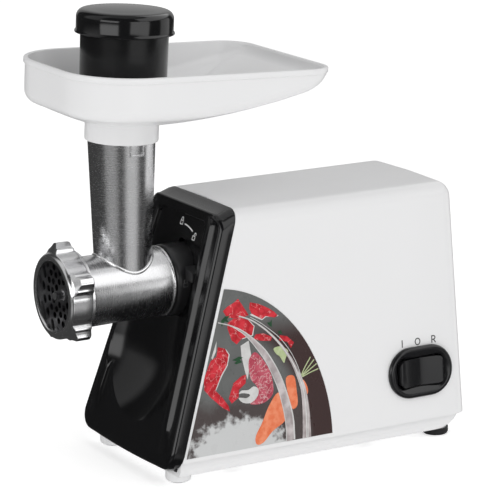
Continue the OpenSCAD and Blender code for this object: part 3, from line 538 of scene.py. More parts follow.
def make_fascia():
    slope = 0.73  # the top falls this much for each mm out of the slope
    edge = 3.4
    base = slope * (RIM_W - edge - 1.2)
    rings = [fascia_ring((0, 0.3), (0, 0.3), (0, 0.3), 14, 12)]
    rings.append(fascia_ring((0, 3), (0, 3), (slope * 1.8, 3), 14, 12))
    for k in range(7):
        a = math.radians(90 * k / 6)
        inset, fall = edge * (1 - math.cos(a)), edge * (1 - math.sin(a))
        low = PANEL_W - fall
        top = (base + inset, RIM_W - fall)
        rings.append(fascia_ring((inset, low), (inset, low), top, 14 - inset, 12 - inset))
    flat_top = base + edge
    rings += [
        fascia_ring((8.0, 10.9), (3.7, 10.8), (flat_top + 0.2, RIM_W), 9, 7),
        fascia_ring((8.4, 11.0), (3.9, 10.8), (flat_top + 0.3, RIM_W), 9, 7),
        fascia_ring((11.2, 13.7), (4.3, 10.8), (flat_top + 0.5, RIM_W), 8, 6.5),
        fascia_ring((11.7, RIM_W), (4.5, 10.8), (flat_top + 0.7, RIM_W), 8, 6.5),
        fascia_ring((17.0, RIM_W), (4.9, 10.8), (flat_top + 3.0, RIM_W), 6, 5.5),
        fascia_ring((18.2, 13.5), (5.1, 10.8), (flat_top + 3.8, 13.5), 6, 5.4),
        fascia_ring((18.9, 12.9), (5.3, 10.8), (flat_top + 4.5, 12.9), 5.6, 5.2),
        fascia_ring((19.4, 12.0), (5.4, 10.8), (flat_top + 5.0, 12.0), 5.4, 5.1),
        fascia_ring((19.7, 11.0), (5.5, 10.8), (flat_top + 5.3, 11.0), 5.2, 5),
        fascia_ring((20.1, PANEL_W), (5.8, PANEL_W), (flat_top + 5.7, PANEL_W), 5, 5),
    ]
    slab = solid(loft(rings), ON_FRONT)

    inner = [
        fascia_ring((3, h), (3, h), (3 + max(0, slope * (h - 1.2)), h), 11, 9) for h in (-1, 1.2, 7.6)
    ]
    hollow = solid(loft(inner), ON_FRONT)

    # The scoop's depth and half widths at the rims' height, at its middle and at its upper end
    deep, wide, narrow = 17.5, 50.7, 41
    scoop_r = (wide**2 + deep**2) / (2 * deep)
    sink = scoop_r - deep
    pocket = math.hypot(narrow, sink)
    low_v = 61.5  # its middle, up the slope

    def trough(extra, steps):
        r1, r2 = scoop_r + extra, pocket + extra
        profile = [(0, low_v - r1)] + [(r, h) for r, h in arc(0, low_v, r1, -88, 0, 30)]
        profile += [(lerp(r1, r2, t / 8), lerp(low_v, AXIS_UP, t / 8)) for t in range(1, 9)]
        profile += arc(0, AXIS_UP, r2, 3, 88, 28) + [(0, AXIS_UP + r2)]
        to = ON_FRONT @ Matrix.Translation((0, 0, RIM_W + sink)) @ axes((1, 0, 0), (0, 0, -1), (0, 1, 0))
        return turned(profile, to, steps)

    backing = trough(2.5, 180)
    behind_panel = solid(block((-54, 54), (-2, 166), (-12, PANEL_W - 0.6)), ON_FRONT)
    combine(backing, behind_panel, operation="INTERSECT")
    at_socket = ON_FRONT @ Matrix.Translation((0, AXIS_UP, 0))
    seat = turned([(0, -2), (37, -2), (37, 7), (0, 7)], at_socket, 96)
    cut(slab, hollow)
    add(slab, backing, seat)
    button_gap = solid(prism([(27.7, 5.5), (38.8, 5.7), (38.8, 13.3), (27.7, 16.5)], -20, 90), ON_AXIS)
    collar_gap = turned([(0, -20), (27.1, -20), (27.1, 90), (0, 90)], ON_AXIS, 160)
    flange_gap = turned([(0, 50), (36, 50), (36, 100), (0, 100)], ON_AXIS, 96)
    tail_gap = solid(block((27.3, 42), (3, 19), (50, 90)), ON_AXIS)
    cut(slab, trough(0, 180), collar_gap, button_gap, flange_gap, tail_gap)
    piece(slab, "fascia_front", "machine", "fascia_black", PIANO, "front_fascia", sharp=30)


make_fascia()

# Socket that the head turns into, with a notch beside it for the release button


def make_socket():
    profile = [
        (21.9, 31.3), (23.6, 31.3), (24.6, 31.5), (25.6, 32.0), (26.3, 32.8), (26.7, 33.8), (26.8, 34.8),
        (26.8, 58), (34.5, 58), (34.5, 62), (14.2, 62), (14.2, 47.6), (21.9, 47.6), (21.9, 45),
        (24.3, 45), (24.3, 38), (21.9, 38)]
    socket = turned(profile, ON_AXIS, 160, closed=True)
    entry = [ON_AXIS @ turn(120 * k - HEAD_TURN, "Z") for k in range(3)]
    slots = [solid(block((-5.5, 5.5), (12, 24.3), (30, 40)), to) for to in entry]
    notch = solid(block((27.5, 45), (3, 19), (57, 63)), ON_AXIS)
    cut(socket, *slots, notch)
    soften(socket, 0.3, 2, 50)
    piece(socket, "head_socket_ring", "machine", "socket_black", SATIN, "head_socket")


make_socket()

# ---------------------------------------------------------------- grinding head

BARREL_R = 25  # at its rear; it widens by BARREL_TAPER to the front
BARREL_TAPER = 1
BARREL_REAR_Y, BARREL_LENGTH = 29, 65.2
TUBE_LOW_R, TUBE_GROWTH = 20.4, 4.1  # radius at the barrel's axis, and how much wider it is at TUBE_WIDE_Z
TUBE_WIDE_Z = 244.4
TUBE_FLARE_LENGTH = 107.4


def barrel_radius(y):
    return BARREL_R + BARREL_TAPER * (BARREL_REAR_Y - y) / BARREL_LENGTH


def tube_radius(z):
    """Outer radius of the feed tube, which widens upwards."""
    return TUBE_LOW_R + TUBE_GROWTH * (min(z, TUBE_WIDE_Z) - AXIS_Z) / TUBE_FLARE_LENGTH


def saddle_bead(r, steps=120):
    """A cast bead along the line where the feed tube meets the barrel."""
    line = []
    for k in range(steps):
        a = 2 * math.pi * k / steps
        z = AXIS_Z + 10
        for _ in range(12):
            x, y = tube_radius(z) * math.cos(a), tube_radius(z) * math.sin(a)
            z = AXIS_Z + math.sqrt(max(0.0, barrel_radius(y)**2 - x * x))
        out = Vector((math.cos(a), math.sin(a), 0)) + Vector((x, 0, z - AXIS_Z)) / BARREL_R
        line.append((Vector((x, y, z)), out.normalized()))
    rings = []
    for k, (centre, out) in enumerate(line):
        along = (line[(k + 1) % steps][0] - line[k - 1][0]).normalized()
        out = (out - along * out.dot(along)).normalized()
        side = along.cross(out)
        rings.append([
            centre + r * (math.cos(b) * out + math.sin(b) * side)
            for b in (2 * math.pi * j / 10 for j in range(10))
        ])
    return solid(loft(rings, True))


def make_head():
    outside = [
        (0, -49.4), (28.8, -49.4), (29.2, -49.0), (29.2, -39.6), (28.9, -39.0), (26.6, -36.8), (26.1, -36.2),
        (25.97, -35.4), (25.06, 28.4), (25.7, 28.7), (26.1, 29.2), (26.2, 29.8), (26.0, 30.5), (25.4, 31),
        (21.6, 31), (21.6, 46.4), (21.0, 47), (0, 47)]
    bore = [
        (0, -53), (27.2, -53), (27.2, -40.2), (21.8, -36.5), (21.8, 30.5), (12.4, 30.5), (12.4, 35.4),
        (9.1, 35.4), (9.1, 50), (0, 50)]
    tube = [
        (0, AXIS_Z), (TUBE_LOW_R, AXIS_Z), (24.5, TUBE_WIDE_Z), (24.5, 259.3), (24.2, 259.9), (23.6, 260.1),
        (0, 260.1)]
    tube_bore = [(0, AXIS_Z + 3), (17.9, AXIS_Z + 3), (21.7, 259.4), (22.3, 261), (0, 261)]
    head = turned(outside, ON_AXIS, 192)
    # A thin raised frame on the tube's right side, open towards the tray
    on_tube = head_frame(24.3, 0, 238.6) @ TO_RIGHT
    frame_lines = [[(-5.6, 11), (-5.6, 0)], [(-5.95, 0), (4.95, 0)], [(4.6, 0), (4.6, 11)]]
    bars = [stroke(line, 0.9, -1.5, 0.8, on_tube) for line in frame_lines]
    add(head, turned(tube, steps=192), saddle_bead(1.25), *bars)
    bayonets = []
    for k in range(3):
        sector = arc(0, 0, 24, -10.8, 10.8, 8) + [(20, 4.2), (20, -4.2)]
        bayonets.append(solid(prism(sector, 38.5, 44.5), ON_AXIS @ turn(120 * k + 90, "Z")))
    add(head, *bayonets)
    cut(head, turned(bore, ON_AXIS, 160), turned(tube_bore, steps=160))
    piece(head, "head_casting", "head", "head_aluminium", CAST, "grinding_head", sharp=34)


def metal(name, colour, rough, split=None, lines=0.3, mottle=0.04, spread=0.06):
    """Turned aluminium: fine lathe lines across the barrel's axis, and across the tube's above split."""
    material, n = empty_material(name)
    along_barrel = n.noise(1.0, 2.0, (0.02, 2.2, 0.02))
    grain = along_barrel
    if split:
        along_tube = n.noise(1.0, 2.0, (0.02, 0.02, 2.2), 5.0)
        upper = n.ramp(n.object_axis("Z"), (split - 0.5) * MM, (split + 0.5) * MM)
        grain = n.blend(upper, along_barrel, along_tube)
    cloud = n.noise(7, 5.0, lift=2.3)
    base = n.mix(cloud, shade(colour, 0.97), shade(colour, 1.02))
    edge = n.ramp(n.new("ShaderNodeNewGeometry").outputs["Pointiness"], 0.505, 0.55)
    base = n.mix(n.math("MULTIPLY", edge, 0.5), base, shade(colour, 1.3))
    gloss = n.ramp(cloud, 0.3, 0.7, rough * (1 - spread), rough * (1 + spread))
    gloss = n.math("ADD", gloss, n.math("MULTIPLY", n.math("SUBTRACT", grain, 0.5), 0.12))
    fine = n.new("ShaderNodeBump", {"Height": grain, "Strength": lines, "Distance": 0.012 * MM})
    relief = n.new("ShaderNodeBump", {
        "Height": n.noise(4, 3.0, lift=9.1), "Strength": mottle, "Distance": 0.03 * MM,
        "Normal": fine.outputs[0]})
    body = n.new("ShaderNodeBsdfPrincipled", {
        "Base Color": base, "Roughness": gloss, "Metallic": 1.0, "Normal": relief.outputs[0]})
    n.new("ShaderNodeOutputMaterial", {"Surface": body.outputs[0]})
    return material


CAST = metal("turned_aluminium", (0.80, 0.80, 0.81), 0.26, split=AXIS_Z + BARREL_R + 2)
NUT = metal("polished_aluminium", (0.86, 0.86, 0.87), 0.19, lines=0.15)
make_head()

# Ring nut: a turned ring with grip lugs, which have a shoulder on both sides.
# Half a lug's outline as (degrees from its middle, radius)
NUT_R = 31.6
LUG_COUNT, LUG_PITCH, LUG_START = 5, 72, 99
LUG = [
    (0, 38.2), (2.3, 38.2), (3.2, 38.0), (4.0, 37.4), (5.6, 36.3), (7.4, 35.3), (8.3, 35.0), (9.4, 34.9),
    (10.6, 34.8), (11.4, 34.5), (12.2, 33.9), (13.6, 32.7), (14.7, 32.0), (16.4, NUT_R), (20, NUT_R),
    (24, NUT_R), (28, NUT_R), (32, NUT_R)]


def make_nut():
    lug = [(-a, r) for a, r in LUG[:0:-1]] + LUG + [(36, NUT_R)]
    outline = [(math.radians(LUG_START + LUG_PITCH * k + a), r) for k in range(LUG_COUNT) for a, r in lug]

    def ring(y, limit, shrink=0.0):
        """The outline at y, cut to the limit; shrink draws the lugs in more than the ring."""
        return polar([(a, min(r, limit) - shrink * (r - 28) / 10) for a, r in outline], y)

    def bore(y, r):
        return polar([(a, r) for a, _ in outline], y)

    front = [(-58.5, 28.5), (-58.35, 29.3), (-57.9, 30.2), (-57.3, 30.9), (-56.6, 31.4), (-55.9, 31.9)]
    start_y, start_r = front[-1]
    rings = [ring(y, limit) for y, limit in front]
    # The lugs' fronts slope back along a cone from there
    for t in (0.2, 0.4, 0.6, 0.8, 0.94, 1):
        cone = []
        for a, full in outline:
            low = min(full, start_r)
            r = lerp(low, full, t)
            cone.append((r * math.cos(a), r * math.sin(a), start_y + 0.3 * t + 0.6 * (r - low)))
        rings.append(cone)
    rings += [
        ring(-51.4, 40), ring(-47, 40), ring(-41.7, 40), ring(-41.2, 40, 0.25), ring(-40.8, 40, 0.8),
        ring(-40.7, 34.2), ring(-40.65, 32.2), ring(-40.5, NUT_R), ring(-39.0, NUT_R), ring(-38.6, 31.3),
        ring(-38.5, 30.9), bore(-38.5, 29.8), bore(-38.9, 29.25), bore(-49.4, 29.25), bore(-49.5, 29.1),
        bore(-49.5, 26.0), bore(-49.7, 25.8), bore(-57.5, 25.8), bore(-58.1, 26.1), bore(-58.5, 26.8)]
    nut = solid(loft(rings, True), ON_AXIS)
    piece(nut, "ring_nut_lugged", "nut", "nut_aluminium", NUT, "ring_nut", sharp=24)


make_nut()

# ---------------------------------------------------------------- tray

TRAY_HALF, TRAY_FRONT, TRAY_REAR = 72, 62.3, 138
FRONT_R, BACK_R = 47, 22


def tray_outline(inset):
    """Plan of the tray from the middle of its right side, round the back."""
    xb, yb = TRAY_HALF - BACK_R, TRAY_REAR - BACK_R
    xf, yf = TRAY_HALF - FRONT_R, FRONT_R - TRAY_FRONT
    back_r, front_r = max(BACK_R - inset, 1), FRONT_R - inset
    half = [(xf + front_r, lerp(yf, yb, t / 14)) for t in range(14)]
    half += arc(xb, yb, back_r, 0, 90, 14)
    half += [(xb * (1 - t / 6), yb + back_r) for t in range(1, 6)]
    rear = half + [(0, yb + back_r)] + [(-x, y) for x, y in half[::-1]]
    front = arc(-xf, yf, front_r, 180, 270, 18)[1:]
    front += [(lerp(-xf, xf, t / 6), yf - front_r) for t in range(1, 7)]
    front += arc(xf, yf, front_r, 270, 360, 18)[1:-1]
    return rear + front


def tray_edge(y):
    """Height of the dish's edge over the collar's foot: level in front, and rising to the rear."""
    return 23.4 + (0.00115 if y > 0 else 0) * y * y


def make_tray():
    rim = tray_outline(0)
    bearing = [math.atan2(y, x) for x, y in rim]

    def circle(r, z):
        return polar([(a, r) for a in bearing], z)

    def wall(inset, height):
        return at_height(tray_outline(inset), height)

    def over_edge(inset, rise):
        """A ring at some rise over the height where the dish turns up into its wall."""
        return [(x, y, tray_edge(y0) + rise) for (x, y), (_, y0) in zip(tray_outline(inset), rim)]

    def between(inner_r, inner_z, inset, rise, t):
        """A ring of the dish, the part t of the way from a circle out to over_edge(inset, rise)."""
        bend = 0.35 * t + 0.65 * t * t
        ring = []
        for a, (x, y, z) in zip(bearing, over_edge(inset, rise)):
            ring.append((lerp(inner_r * math.cos(a), x, t), lerp(inner_r * math.sin(a), y, t),
                         lerp(inner_z, z, bend)))
        return ring

    collar = [
        (20.6, 15.6), (21.1, 15.0), (25.5, 15.0), (25.5, 0.9), (25.9, 0.2), (26.3, 0), (26.6, 0.3),
        (26.8, 0.9), (26.8, 12.6), (27.0, 13.0), (28.0, 13.3), (28.2, 13.6), (28.2, 14.6)]
    rings = [circle(r, z) for r, z in collar]
    rings += [between(29, 15.2, 9.4, 0.1, t / 9) for t in range(10)]
    outer_r, inner_r = 9.5, 7.6  # of the bend from the dish to the wall
    for k in range(1, 9):
        a = math.radians(90 * k / 8)
        rings.append(over_edge(1.2 + outer_r * (1 - math.sin(a)), outer_r * (1 - math.cos(a))))
    lip = [(1.2, 50.5), (1.1, 52.0), (0.3, 52.5), (0.0, 52.9), (0.0, 55.6), (0.3, 56.2), (0.9, 56.5),
           (2.6, 56.5), (3.3, 56.2), (3.6, 55.5)]
    rings += [wall(inset, height) for inset, height in lip]
    for k in range(8):
        a = math.radians(90 * k / 7)
        rings.append(over_edge(4.4 + inner_r * (1 - math.cos(a)), 2.6 + inner_r * (1 - math.sin(a))))
    rings += [between(30, 17.5, 13.2, 2.5, 1 - t / 9) for t in range(1, 10)]
    rings += [circle(24, 17.2), circle(21.2, 17.2), circle(20.7, 16.8)]
    tray = solid(loft(rings, True), ON_TRAY)
    piece(tray, "tray_dish", "tray", "tray_white", WHITE, "tray", sharp=40)


make_tray()

# ---------------------------------------------------------------- pusher

SEAT_TOP = 17.4
CAP_Z = 77.5


def make_pusher():
    body = [
        (0, -46), (15.0, -46), (16.4, -45.6), (17.2, -44.4), (17.2, SEAT_TOP - 0.4), (18.0, SEAT_TOP),
        (29.6, SEAT_TOP), (30.8, SEAT_TOP + 0.5), (31.3, SEAT_TOP + 1.7), (31.5, 45), (31.8, CAP_Z - 0.6),
        (31.5, CAP_Z - 0.1), (29.7, CAP_Z - 0.1), (29.5, CAP_Z - 0.6), (29.3, SEAT_TOP + 3.4),
        (28, SEAT_TOP + 2.2), (15.6, SEAT_TOP + 2.2), (15.2, SEAT_TOP + 1.4), (15.2, -43.4), (14.6, -44),
        (0, -44)]
    shell = turned(body, ON_TRAY, 160)
    piece(shell, "pusher_sleeve", "pusher", "pusher_black", PUSHER, "pusher_body", sharp=30)
    edge = 5.4
    side = arc(35 - edge, 17.0 - edge, edge, 0, 76, 8)
    cap = [
        (0, 15.6), (24, 15.0), (30.2, 13.4), (31, 11.5), (31, 2.2), (27.5, 2.2), (27.5, -5.4), (27.9, -6),
        (28.9, -6), (29.2, -5.4), (29.2, 0), (35.2, 0), (35.9, 0.3), (36.1, 0.9), (35.9, 1.5), (35.4, 2.0),
        (35.05, 2.7)] + side + [(27, 16.95), (20, 17.5), (10, 17.9), (0, 18.0)]
    lid = turned(cap, ON_TRAY @ Matrix.Translation((0, 0, CAP_Z)), 160)
    piece(lid, "pusher_lid", "cap", "pusher_black", CAP, "pusher_cap", sharp=30)


make_pusher()

# ---------------------------------------------------------------- switch


def make_switch():
    steps = [
        (24, 15, 12, 0.1), (28.3, 19.3, 19.2, 0.1), (28.5, 19.5, 19.4, 0.4), (28.5, 19.5, 19.4, 1.5),
        (28.2, 19.2, 19.1, 2.3), (27.5, 18.5, 18.4, 3.0), (26.5, 17.5, 17.4, 3.35), (25.6, 16.6, 16.4, 3.4),
        (24.8, 15.8, 15.4, 3.2), (21.9, 12.7, 9.5, 1.9), (21.0, 11.7, 6.8, 1.3), (20.6, 11.3, 6.0, 0.7),
        (20.6, 11.3, 6.0, -1)]
    rings = [at_height(round_rect(hx, hy, r, 10), z) for hx, hy, r, z in steps]
    bezel = solid(loft(rings, True), ON_SWITCH)
    piece(bezel, "switch_surround", "machine", "switch_black", SATIN_GLOSS, "switch_bezel", sharp=30)
    # The rocker's two paddles rise to its ends
    side = [(-19.8, -2), (-19.8, 3.4), (-19.0, 4.4), (-17.6, 4.6), (-8.5, 2.0), (0, 0.9), (8.5, 2.0),
            (17.6, 4.6), (19.0, 4.4), (19.8, 3.4), (19.8, -2), (0, -5)]
    rocker = solid(prism(side, -10.5, 10.5), ON_SWITCH @ TO_FRONT)
    combine(rocker, solid(prism(round_rect(19.8, 10.5, 5.6, 10), -8, 8), ON_SWITCH), operation="INTERSECT")
    soften(rocker, 0.8, 4, 35)
    piece(rocker, "switch_paddle", "rocker", "switch_black", SATIN_GLOSS, "switch_rocker", sharp=30)


make_switch()

# ---------------------------------------------------------------- printed lines and shapes


def curve(points, closed=False, steps=6):
    """A smooth line through the points."""
    n = len(points)
    result = []
    for i in range(n if closed else n - 1):
        p = [points[(i + k) % n] if closed else points[min(max(i + k, 0), n - 1)] for k in (-1, 0, 1, 2)]
        for s in range(steps):
            t = s / steps
            result.append(tuple(
                0.5 * (2 * p[1][c] + (p[2][c] - p[0][c]) * t
                       + (2 * p[0][c] - 5 * p[1][c] + 4 * p[2][c] - p[3][c]) * t * t
                       + (3 * p[1][c] - p[0][c] - 3 * p[2][c] + p[3][c]) * t**3)
                for c in (0, 1)))
    return result if closed else result + [tuple(points[-1])]


def padlock(x, y, open_by):
    """Outlines of a small plain padlock: its body and its shackle, swung open by some mm."""
    corners = ((-1.7, -2.6), (1.7, -2.6), (1.7, 0.2), (-1.7, 0.2), (-1.7, -2.6))
    body = [(x + dx, y + dy) for dx, dy in corners]
    shackle = [(x - 1.1 + open_by, y + 0.2)] + arc(x + open_by, y + 1.6, 1.1, 180, 0, 8)
    shackle += [(x + 1.1 + open_by, y + (0.9 if open_by else 0.2))]
    return [body, shackle]


def make_panel_print():
    low, high = PANEL_W + 0.01, PANEL_W + 0.08
    lines = [stroke(arc(0, 121.5, 43.4, 86, 68, 12), 1.0, low, high, ON_FRONT)]
    for x, y, open_by in ((-1.6, 166.3, 0), (19.7, 158.6, 1.2)):
        lines += [stroke(line, 0.7, low, high, ON_FRONT) for line in padlock(x, y, open_by)]
    piece(joined(lines), "lock_marks", "machine", "fascia_black", PRINT)
    # A small padlock moulded on the collar
    on_collar = head_frame(26.5, 37.5, AXIS_Z + 3) @ TO_RIGHT
    mould = [stroke(line, 0.45, -0.8, 0.4, on_collar) for line in padlock(0, 0, 0)]
    piece(joined(mould), "collar_mark", "machine", "socket_black", MOULD_MARK)


make_panel_print()


def make_switch_labels():
    """Three plain marks over the switch: a bar, a ring and an R."""
    low, high = -0.1, 0.14
    foot, top = 58.2, 63.8
    bar, ring_at, stem = 203.7, 217.6, 230.6
    turns = [math.pi * k / 24 for k in range(48)]
    outer, inner = (
        [(rx * math.cos(a), ry * math.sin(a)) for a in turns] for rx, ry in ((2.5, 2.8), (1.75, 2.05)))
    rings = [at_height(outer, low), at_height(outer, high), at_height(inner, high), at_height(inner, low)]
    ring = solid(loft(rings, True), ON_SIDE @ Matrix.Translation((ring_at, (foot + top) / 2, 0)))
    bowl = [(stem, top - 0.35)] + arc(232.2, top - 1.7, 1.35, 90, -90, 10) + [(stem, top - 3.05)]
    leg = [(232.0, top - 3.0), (233.9, foot)]
    lines = [[(bar, foot), (bar, top)], [(stem, foot), (stem, top)], bowl, leg]
    marks = [stroke(line, 0.75, low, high, ON_SIDE) for line in lines]
    piece(joined([ring] + marks), "switch_marks", "machine", "switch_black", PRINT_DARK)


make_switch_labels()

# ---------------------------------------------------------------- foil on the side


FOIL_Y, FOIL_LOW = 40, 3  # middle of the quarter oval, along and up the side face
FOIL_LONG, FOIL_TALL = 98.5, 121
FOIL_TOP = 0.30  # thickness of the sheet
INK_STEP = 0.03  # each ink lies this much over the last


def foil_outline(grow=0.0):
    """A quarter oval, cut off along the fascia in front."""
    lean = math.tan(math.radians(FRONT_LEAN)) * math.cos(math.radians(SIDE_LEAN))
    left = [(FRONT_FOOT + 2.6 + lean * up, up) for up in (123.0, FOIL_LOW)]
    angles = [math.radians(83 * k / 36) for k in range(37)]
    rx, ry = FOIL_LONG + grow, FOIL_TALL + grow
    return left + [(FOIL_Y + rx * math.cos(a), FOIL_LOW + ry * math.sin(a)) for a in angles]


def printed(name, build, rough=0.3):
    """A printed ink under a clear coat. build(nodes, along, up) gives its colour."""
    material, n = empty_material(name)
    along = n.math("SUBTRACT", n.math("DIVIDE", n.object_axis("Y"), MM), HEAD_Y)
    up = n.math("SUBTRACT", n.math("DIVIDE", n.object_axis("Z"), MM), SIDE_Z)
    relief = n.new("ShaderNodeBump", {"Height": n.noise(0.5, 2.0), "Strength": 0.1, "Distance": 0.01 * MM})
    gloss = n.ramp(n.noise(12, 4.0), 0.3, 0.7, rough * 0.8, rough * 1.2)
    body = n.new("ShaderNodeBsdfPrincipled", {
        "Base Color": build(n, along, up), "Roughness": gloss, "Specular IOR Level": 0.25,
        "Normal": relief.outputs[0]})
    n.new("ShaderNodeOutputMaterial", {"Surface": body.outputs[0]})
    return material


def backdrop_ink(n, along, up):
    """Grey table top that turns dark brown to the right and below, with pale smoke low at the left."""
    cloud = n.noise(14, 5.0)
    dx, dy = n.math("SUBTRACT", along, FOIL_Y), n.math("MULTIPLY", up, 0.81)
    radius = n.math("SQRT", n.math("ADD", n.math("POWER", dx, 2), n.math("POWER", dy, 2)))
    base = n.mix(cloud, (0.100, 0.104, 0.102, 1), (0.150, 0.154, 0.150, 1))
    brown = n.math("MULTIPLY", n.ramp(radius, 72, 84), n.ramp(up, 100, 78))
    low = n.math("MULTIPLY", n.ramp(n.math("ADD", up, n.math("MULTIPLY", cloud, 20)), 60, 42), 0.7)
    base = n.mix(n.math("MAXIMUM", brown, low), base, (0.048, 0.027, 0.026, 1))
    wide = n.math("DIVIDE", n.math("SUBTRACT", along, 57), 42)
    tall = n.math("DIVIDE", up, 27)
    far = n.math("SQRT", n.math("ADD", n.math("POWER", wide, 2), n.math("POWER", tall, 2)))
    torn = n.math("MULTIPLY", n.math("SUBTRACT", n.noise(5, 8.0, lift=4.0), 0.5), 0.9)
    wisp = n.ramp(n.math("ADD", far, torn), 1.12, 0.82)
    return n.mix(n.math("MULTIPLY", wisp, 0.93), base, (0.60, 0.61, 0.61, 1))


def veined(low, high, vein_colour, size, width):
    """Flesh between two colours with thin veins, size mm apart and width wide in the noise's own unit."""
    def ink(n, along, up):
        base = n.mix(n.ramp(n.noise(5, 5.0, lift=1.0), 0.35, 0.65), low, high)
        vein = n.math("ABSOLUTE", n.math("SUBTRACT", n.noise(size, 4.0, lift=6.0), 0.5))
        return n.mix(n.math("MULTIPLY", n.ramp(vein, width, width * 0.3), 0.75), base, vein_colour)
    return ink


def blended(low, high, size, detail, contrast=None):
    """Two colours mixed by a noise, drawn apart between the two levels of contrast."""
    def ink(n, along, up):
        part = n.noise(size, detail)
        return n.mix(n.ramp(part, *contrast) if contrast else part, low, high)
    return ink


INK_PALE = printed("ink_pale", blended((0.46, 0.46, 0.45, 1), (0.72, 0.71, 0.70, 1), 6, 4.0))
CARROT = blended((0.74, 0.17, 0.07, 1), (0.82, 0.27, 0.14, 1), 6, 5.0, (0.35, 0.65))
LEAF = blended((0.008, 0.040, 0.022, 1), (0.03, 0.10, 0.04, 1), 2.5, 3.0)
ONION = blended((0.30, 0.40, 0.16, 1), (0.60, 0.64, 0.42, 1), 3, 3.0)
GAUZE = blended((0.33, 0.29, 0.29, 1), (0.60, 0.55, 0.55, 1), 9, 5.0, (0.3, 0.7))
MEAT = veined((0.40, 0.010, 0.018, 1), (0.62, 0.030, 0.045, 1), (0.72, 0.30, 0.30, 1), 8, 0.012)
MARBLE = veined((0.38, 0.045, 0.075, 1), (0.52, 0.10, 0.14, 1), (0.66, 0.42, 0.42, 1), 4, 0.035)

# Outlines and lines of the print, in mm along and up the side face. They were read off the photo, so they follow
# its print's arrangement, which is an open departure.
FOIL_FAT = [
    [(43.7, 85.9), (38.6, 74.2), (39.6, 73.0), (42.9, 78.8)],
    [(63.5, 79.8), (70.5, 82.7), (72.3, 69.3), (70.2, 64.3), (68.1, 54.0), (66.3, 59.6), (63.8, 71.8)],
    [(50.8, 79.6), (54.0, 74.6), (52.0, 67.0), (46.4, 59.2), (41.2, 49.9), (40.3, 50.3), (45.4, 60.0),
     (50.6, 67.8), (52.2, 74.8)],
    [(71.3, 98.2), (76.0, 92.8), (74.4, 85.9), (65.3, 84.4), (64.6, 85.5), (73.3, 87.2), (74.8, 92.4),
     (70.5, 97.2)],
    [(72.3, 101.6), (73.7, 100.7), (82.5, 96.1), (86.0, 98.0), (96.2, 97.2), (96.6, 98.1), (85.7, 99.1),
     (82.3, 97.2), (74.1, 102.0)]]
FOIL_MEAT = [
    [(50.2, 107.2), (54.1, 110.0), (59.4, 112.1), (63.3, 114.6), (66.0, 110.3), (71.5, 101.4),
     (65.4, 100.2), (58.8, 100.8), (53.2, 102.3)],
    [(53.8, 98.2), (58.7, 100.6), (65.4, 100.0), (71.0, 97.8), (75.4, 92.6), (73.5, 86.5), (64.6, 84.9),
     (60.3, 81.3), (56.3, 84.8), (53.2, 94.4)],
    [(73.1, 110.7), (80.9, 108.3), (89.0, 103.9), (93.4, 100.7), (95.9, 97.7), (93.2, 96.7), (85.7, 98.7),
     (82.6, 96.9), (74.1, 102.0), (72.2, 106.2)],
    [(76.7, 86.5), (83.5, 86.2), (90.1, 82.6), (89.2, 79.8), (80.2, 81.2), (74.6, 83.5)],
    [(97.0, 82.9), (103.0, 81.4), (108.8, 75.9), (105.8, 72.1), (103.1, 77.2), (96.2, 79.3)],
    [(44.5, 81.5), (50.1, 79.7), (53.1, 74.7), (51.3, 67.3), (45.7, 60.0), (40.6, 50.0), (46.2, 43.8),
     (50.9, 37.0), (51.8, 32.7), (46.1, 36.2), (36.2, 45.6), (31.4, 51.6), (31.4, 59.5), (36.4, 69.3),
     (38.1, 72.3), (42.9, 74.6)],
    [(56.0, 53.2), (63.0, 57.4), (67.1, 57.9), (66.1, 51.6), (60.2, 47.5), (59.6, 42.0), (53.7, 38.3),
     (51.3, 42.3)]]
FOIL_STEAK = [
    [(70.1, 68.9), (75.2, 73.5), (80.9, 68.0), (86.5, 59.2), (88.8, 50.9), (88.7, 40.3), (80.6, 34.8),
     (71.5, 34.9), (69.3, 36.6), (74.9, 41.0), (75.6, 47.6), (70.8, 53.6), (69.3, 61.8)]]
FOIL_CARROTS = [
    [(93.1, 40.6), (98.1, 33.5), (100.3, 26.4), (98.0, 18.7), (87.0, 12.5), (78.9, 5.4), (73.1, 4.7),
     (72.4, 10.8), (78.6, 20.5), (85.0, 32.1)],
    [(100.5, 50.5), (107.4, 50.8), (109.1, 39.8), (109.3, 29.0), (104.3, 26.9), (101.4, 38.3)],
    [(114.9, 47.0), (118.5, 41.1), (118.3, 35.7), (114.4, 36.9)]]
FOIL_BULBS = [
    [(60.0, 44.6), (62.4, 46.7), (68.2, 46.3), (72.6, 48.3), (76.4, 45.9), (75.8, 40.9), (70.1, 36.5),
     (62.9, 37.6), (59.5, 41.5), (62.8, 41.3), (66.1, 40.5), (69.2, 41.9), (68.1, 43.4), (63.0, 44.7)]]
FOIL_ONIONS = [
    [(91.1, 73.8), (96.5, 74.8), (100.2, 73.2), (103.4, 70.0), (100.9, 65.1), (99.3, 61.9), (96.1, 67.1),
     (93.2, 69.5)]]
FOIL_LEAVES = [
    [(48.6, 100.8), (51.7, 103.0), (55.6, 103.2), (53.1, 100.7), (55.0, 98.1), (51.2, 99.6), (48.6, 96.1),
     (47.9, 98.5)],
    [(86.6, 93.7), (89.4, 93.8), (90.7, 95.5), (90.5, 89.9), (88.3, 91.3)],
    [(55.8, 70.1), (61.6, 72.1), (64.8, 70.9), (62.1, 69.7), (64.0, 67.6), (59.2, 66.7), (57.4, 67.7),
     (59.6, 69.0)],
    [(95.3, 85.8), (98.1, 86.5), (99.1, 83.7), (96.4, 83.8)]]
FOIL_STALKS = [
    [(113.6, 50.3), (117.0, 56.0), (122.3, 63.0)],
    [(113.9, 50.1), (118.7, 54.4), (125.2, 60.7)],
    [(114.1, 49.8), (120.5, 53.4), (127.5, 57.4)],
    [(114.4, 49.2), (121.7, 51.6), (128.6, 53.3)]]
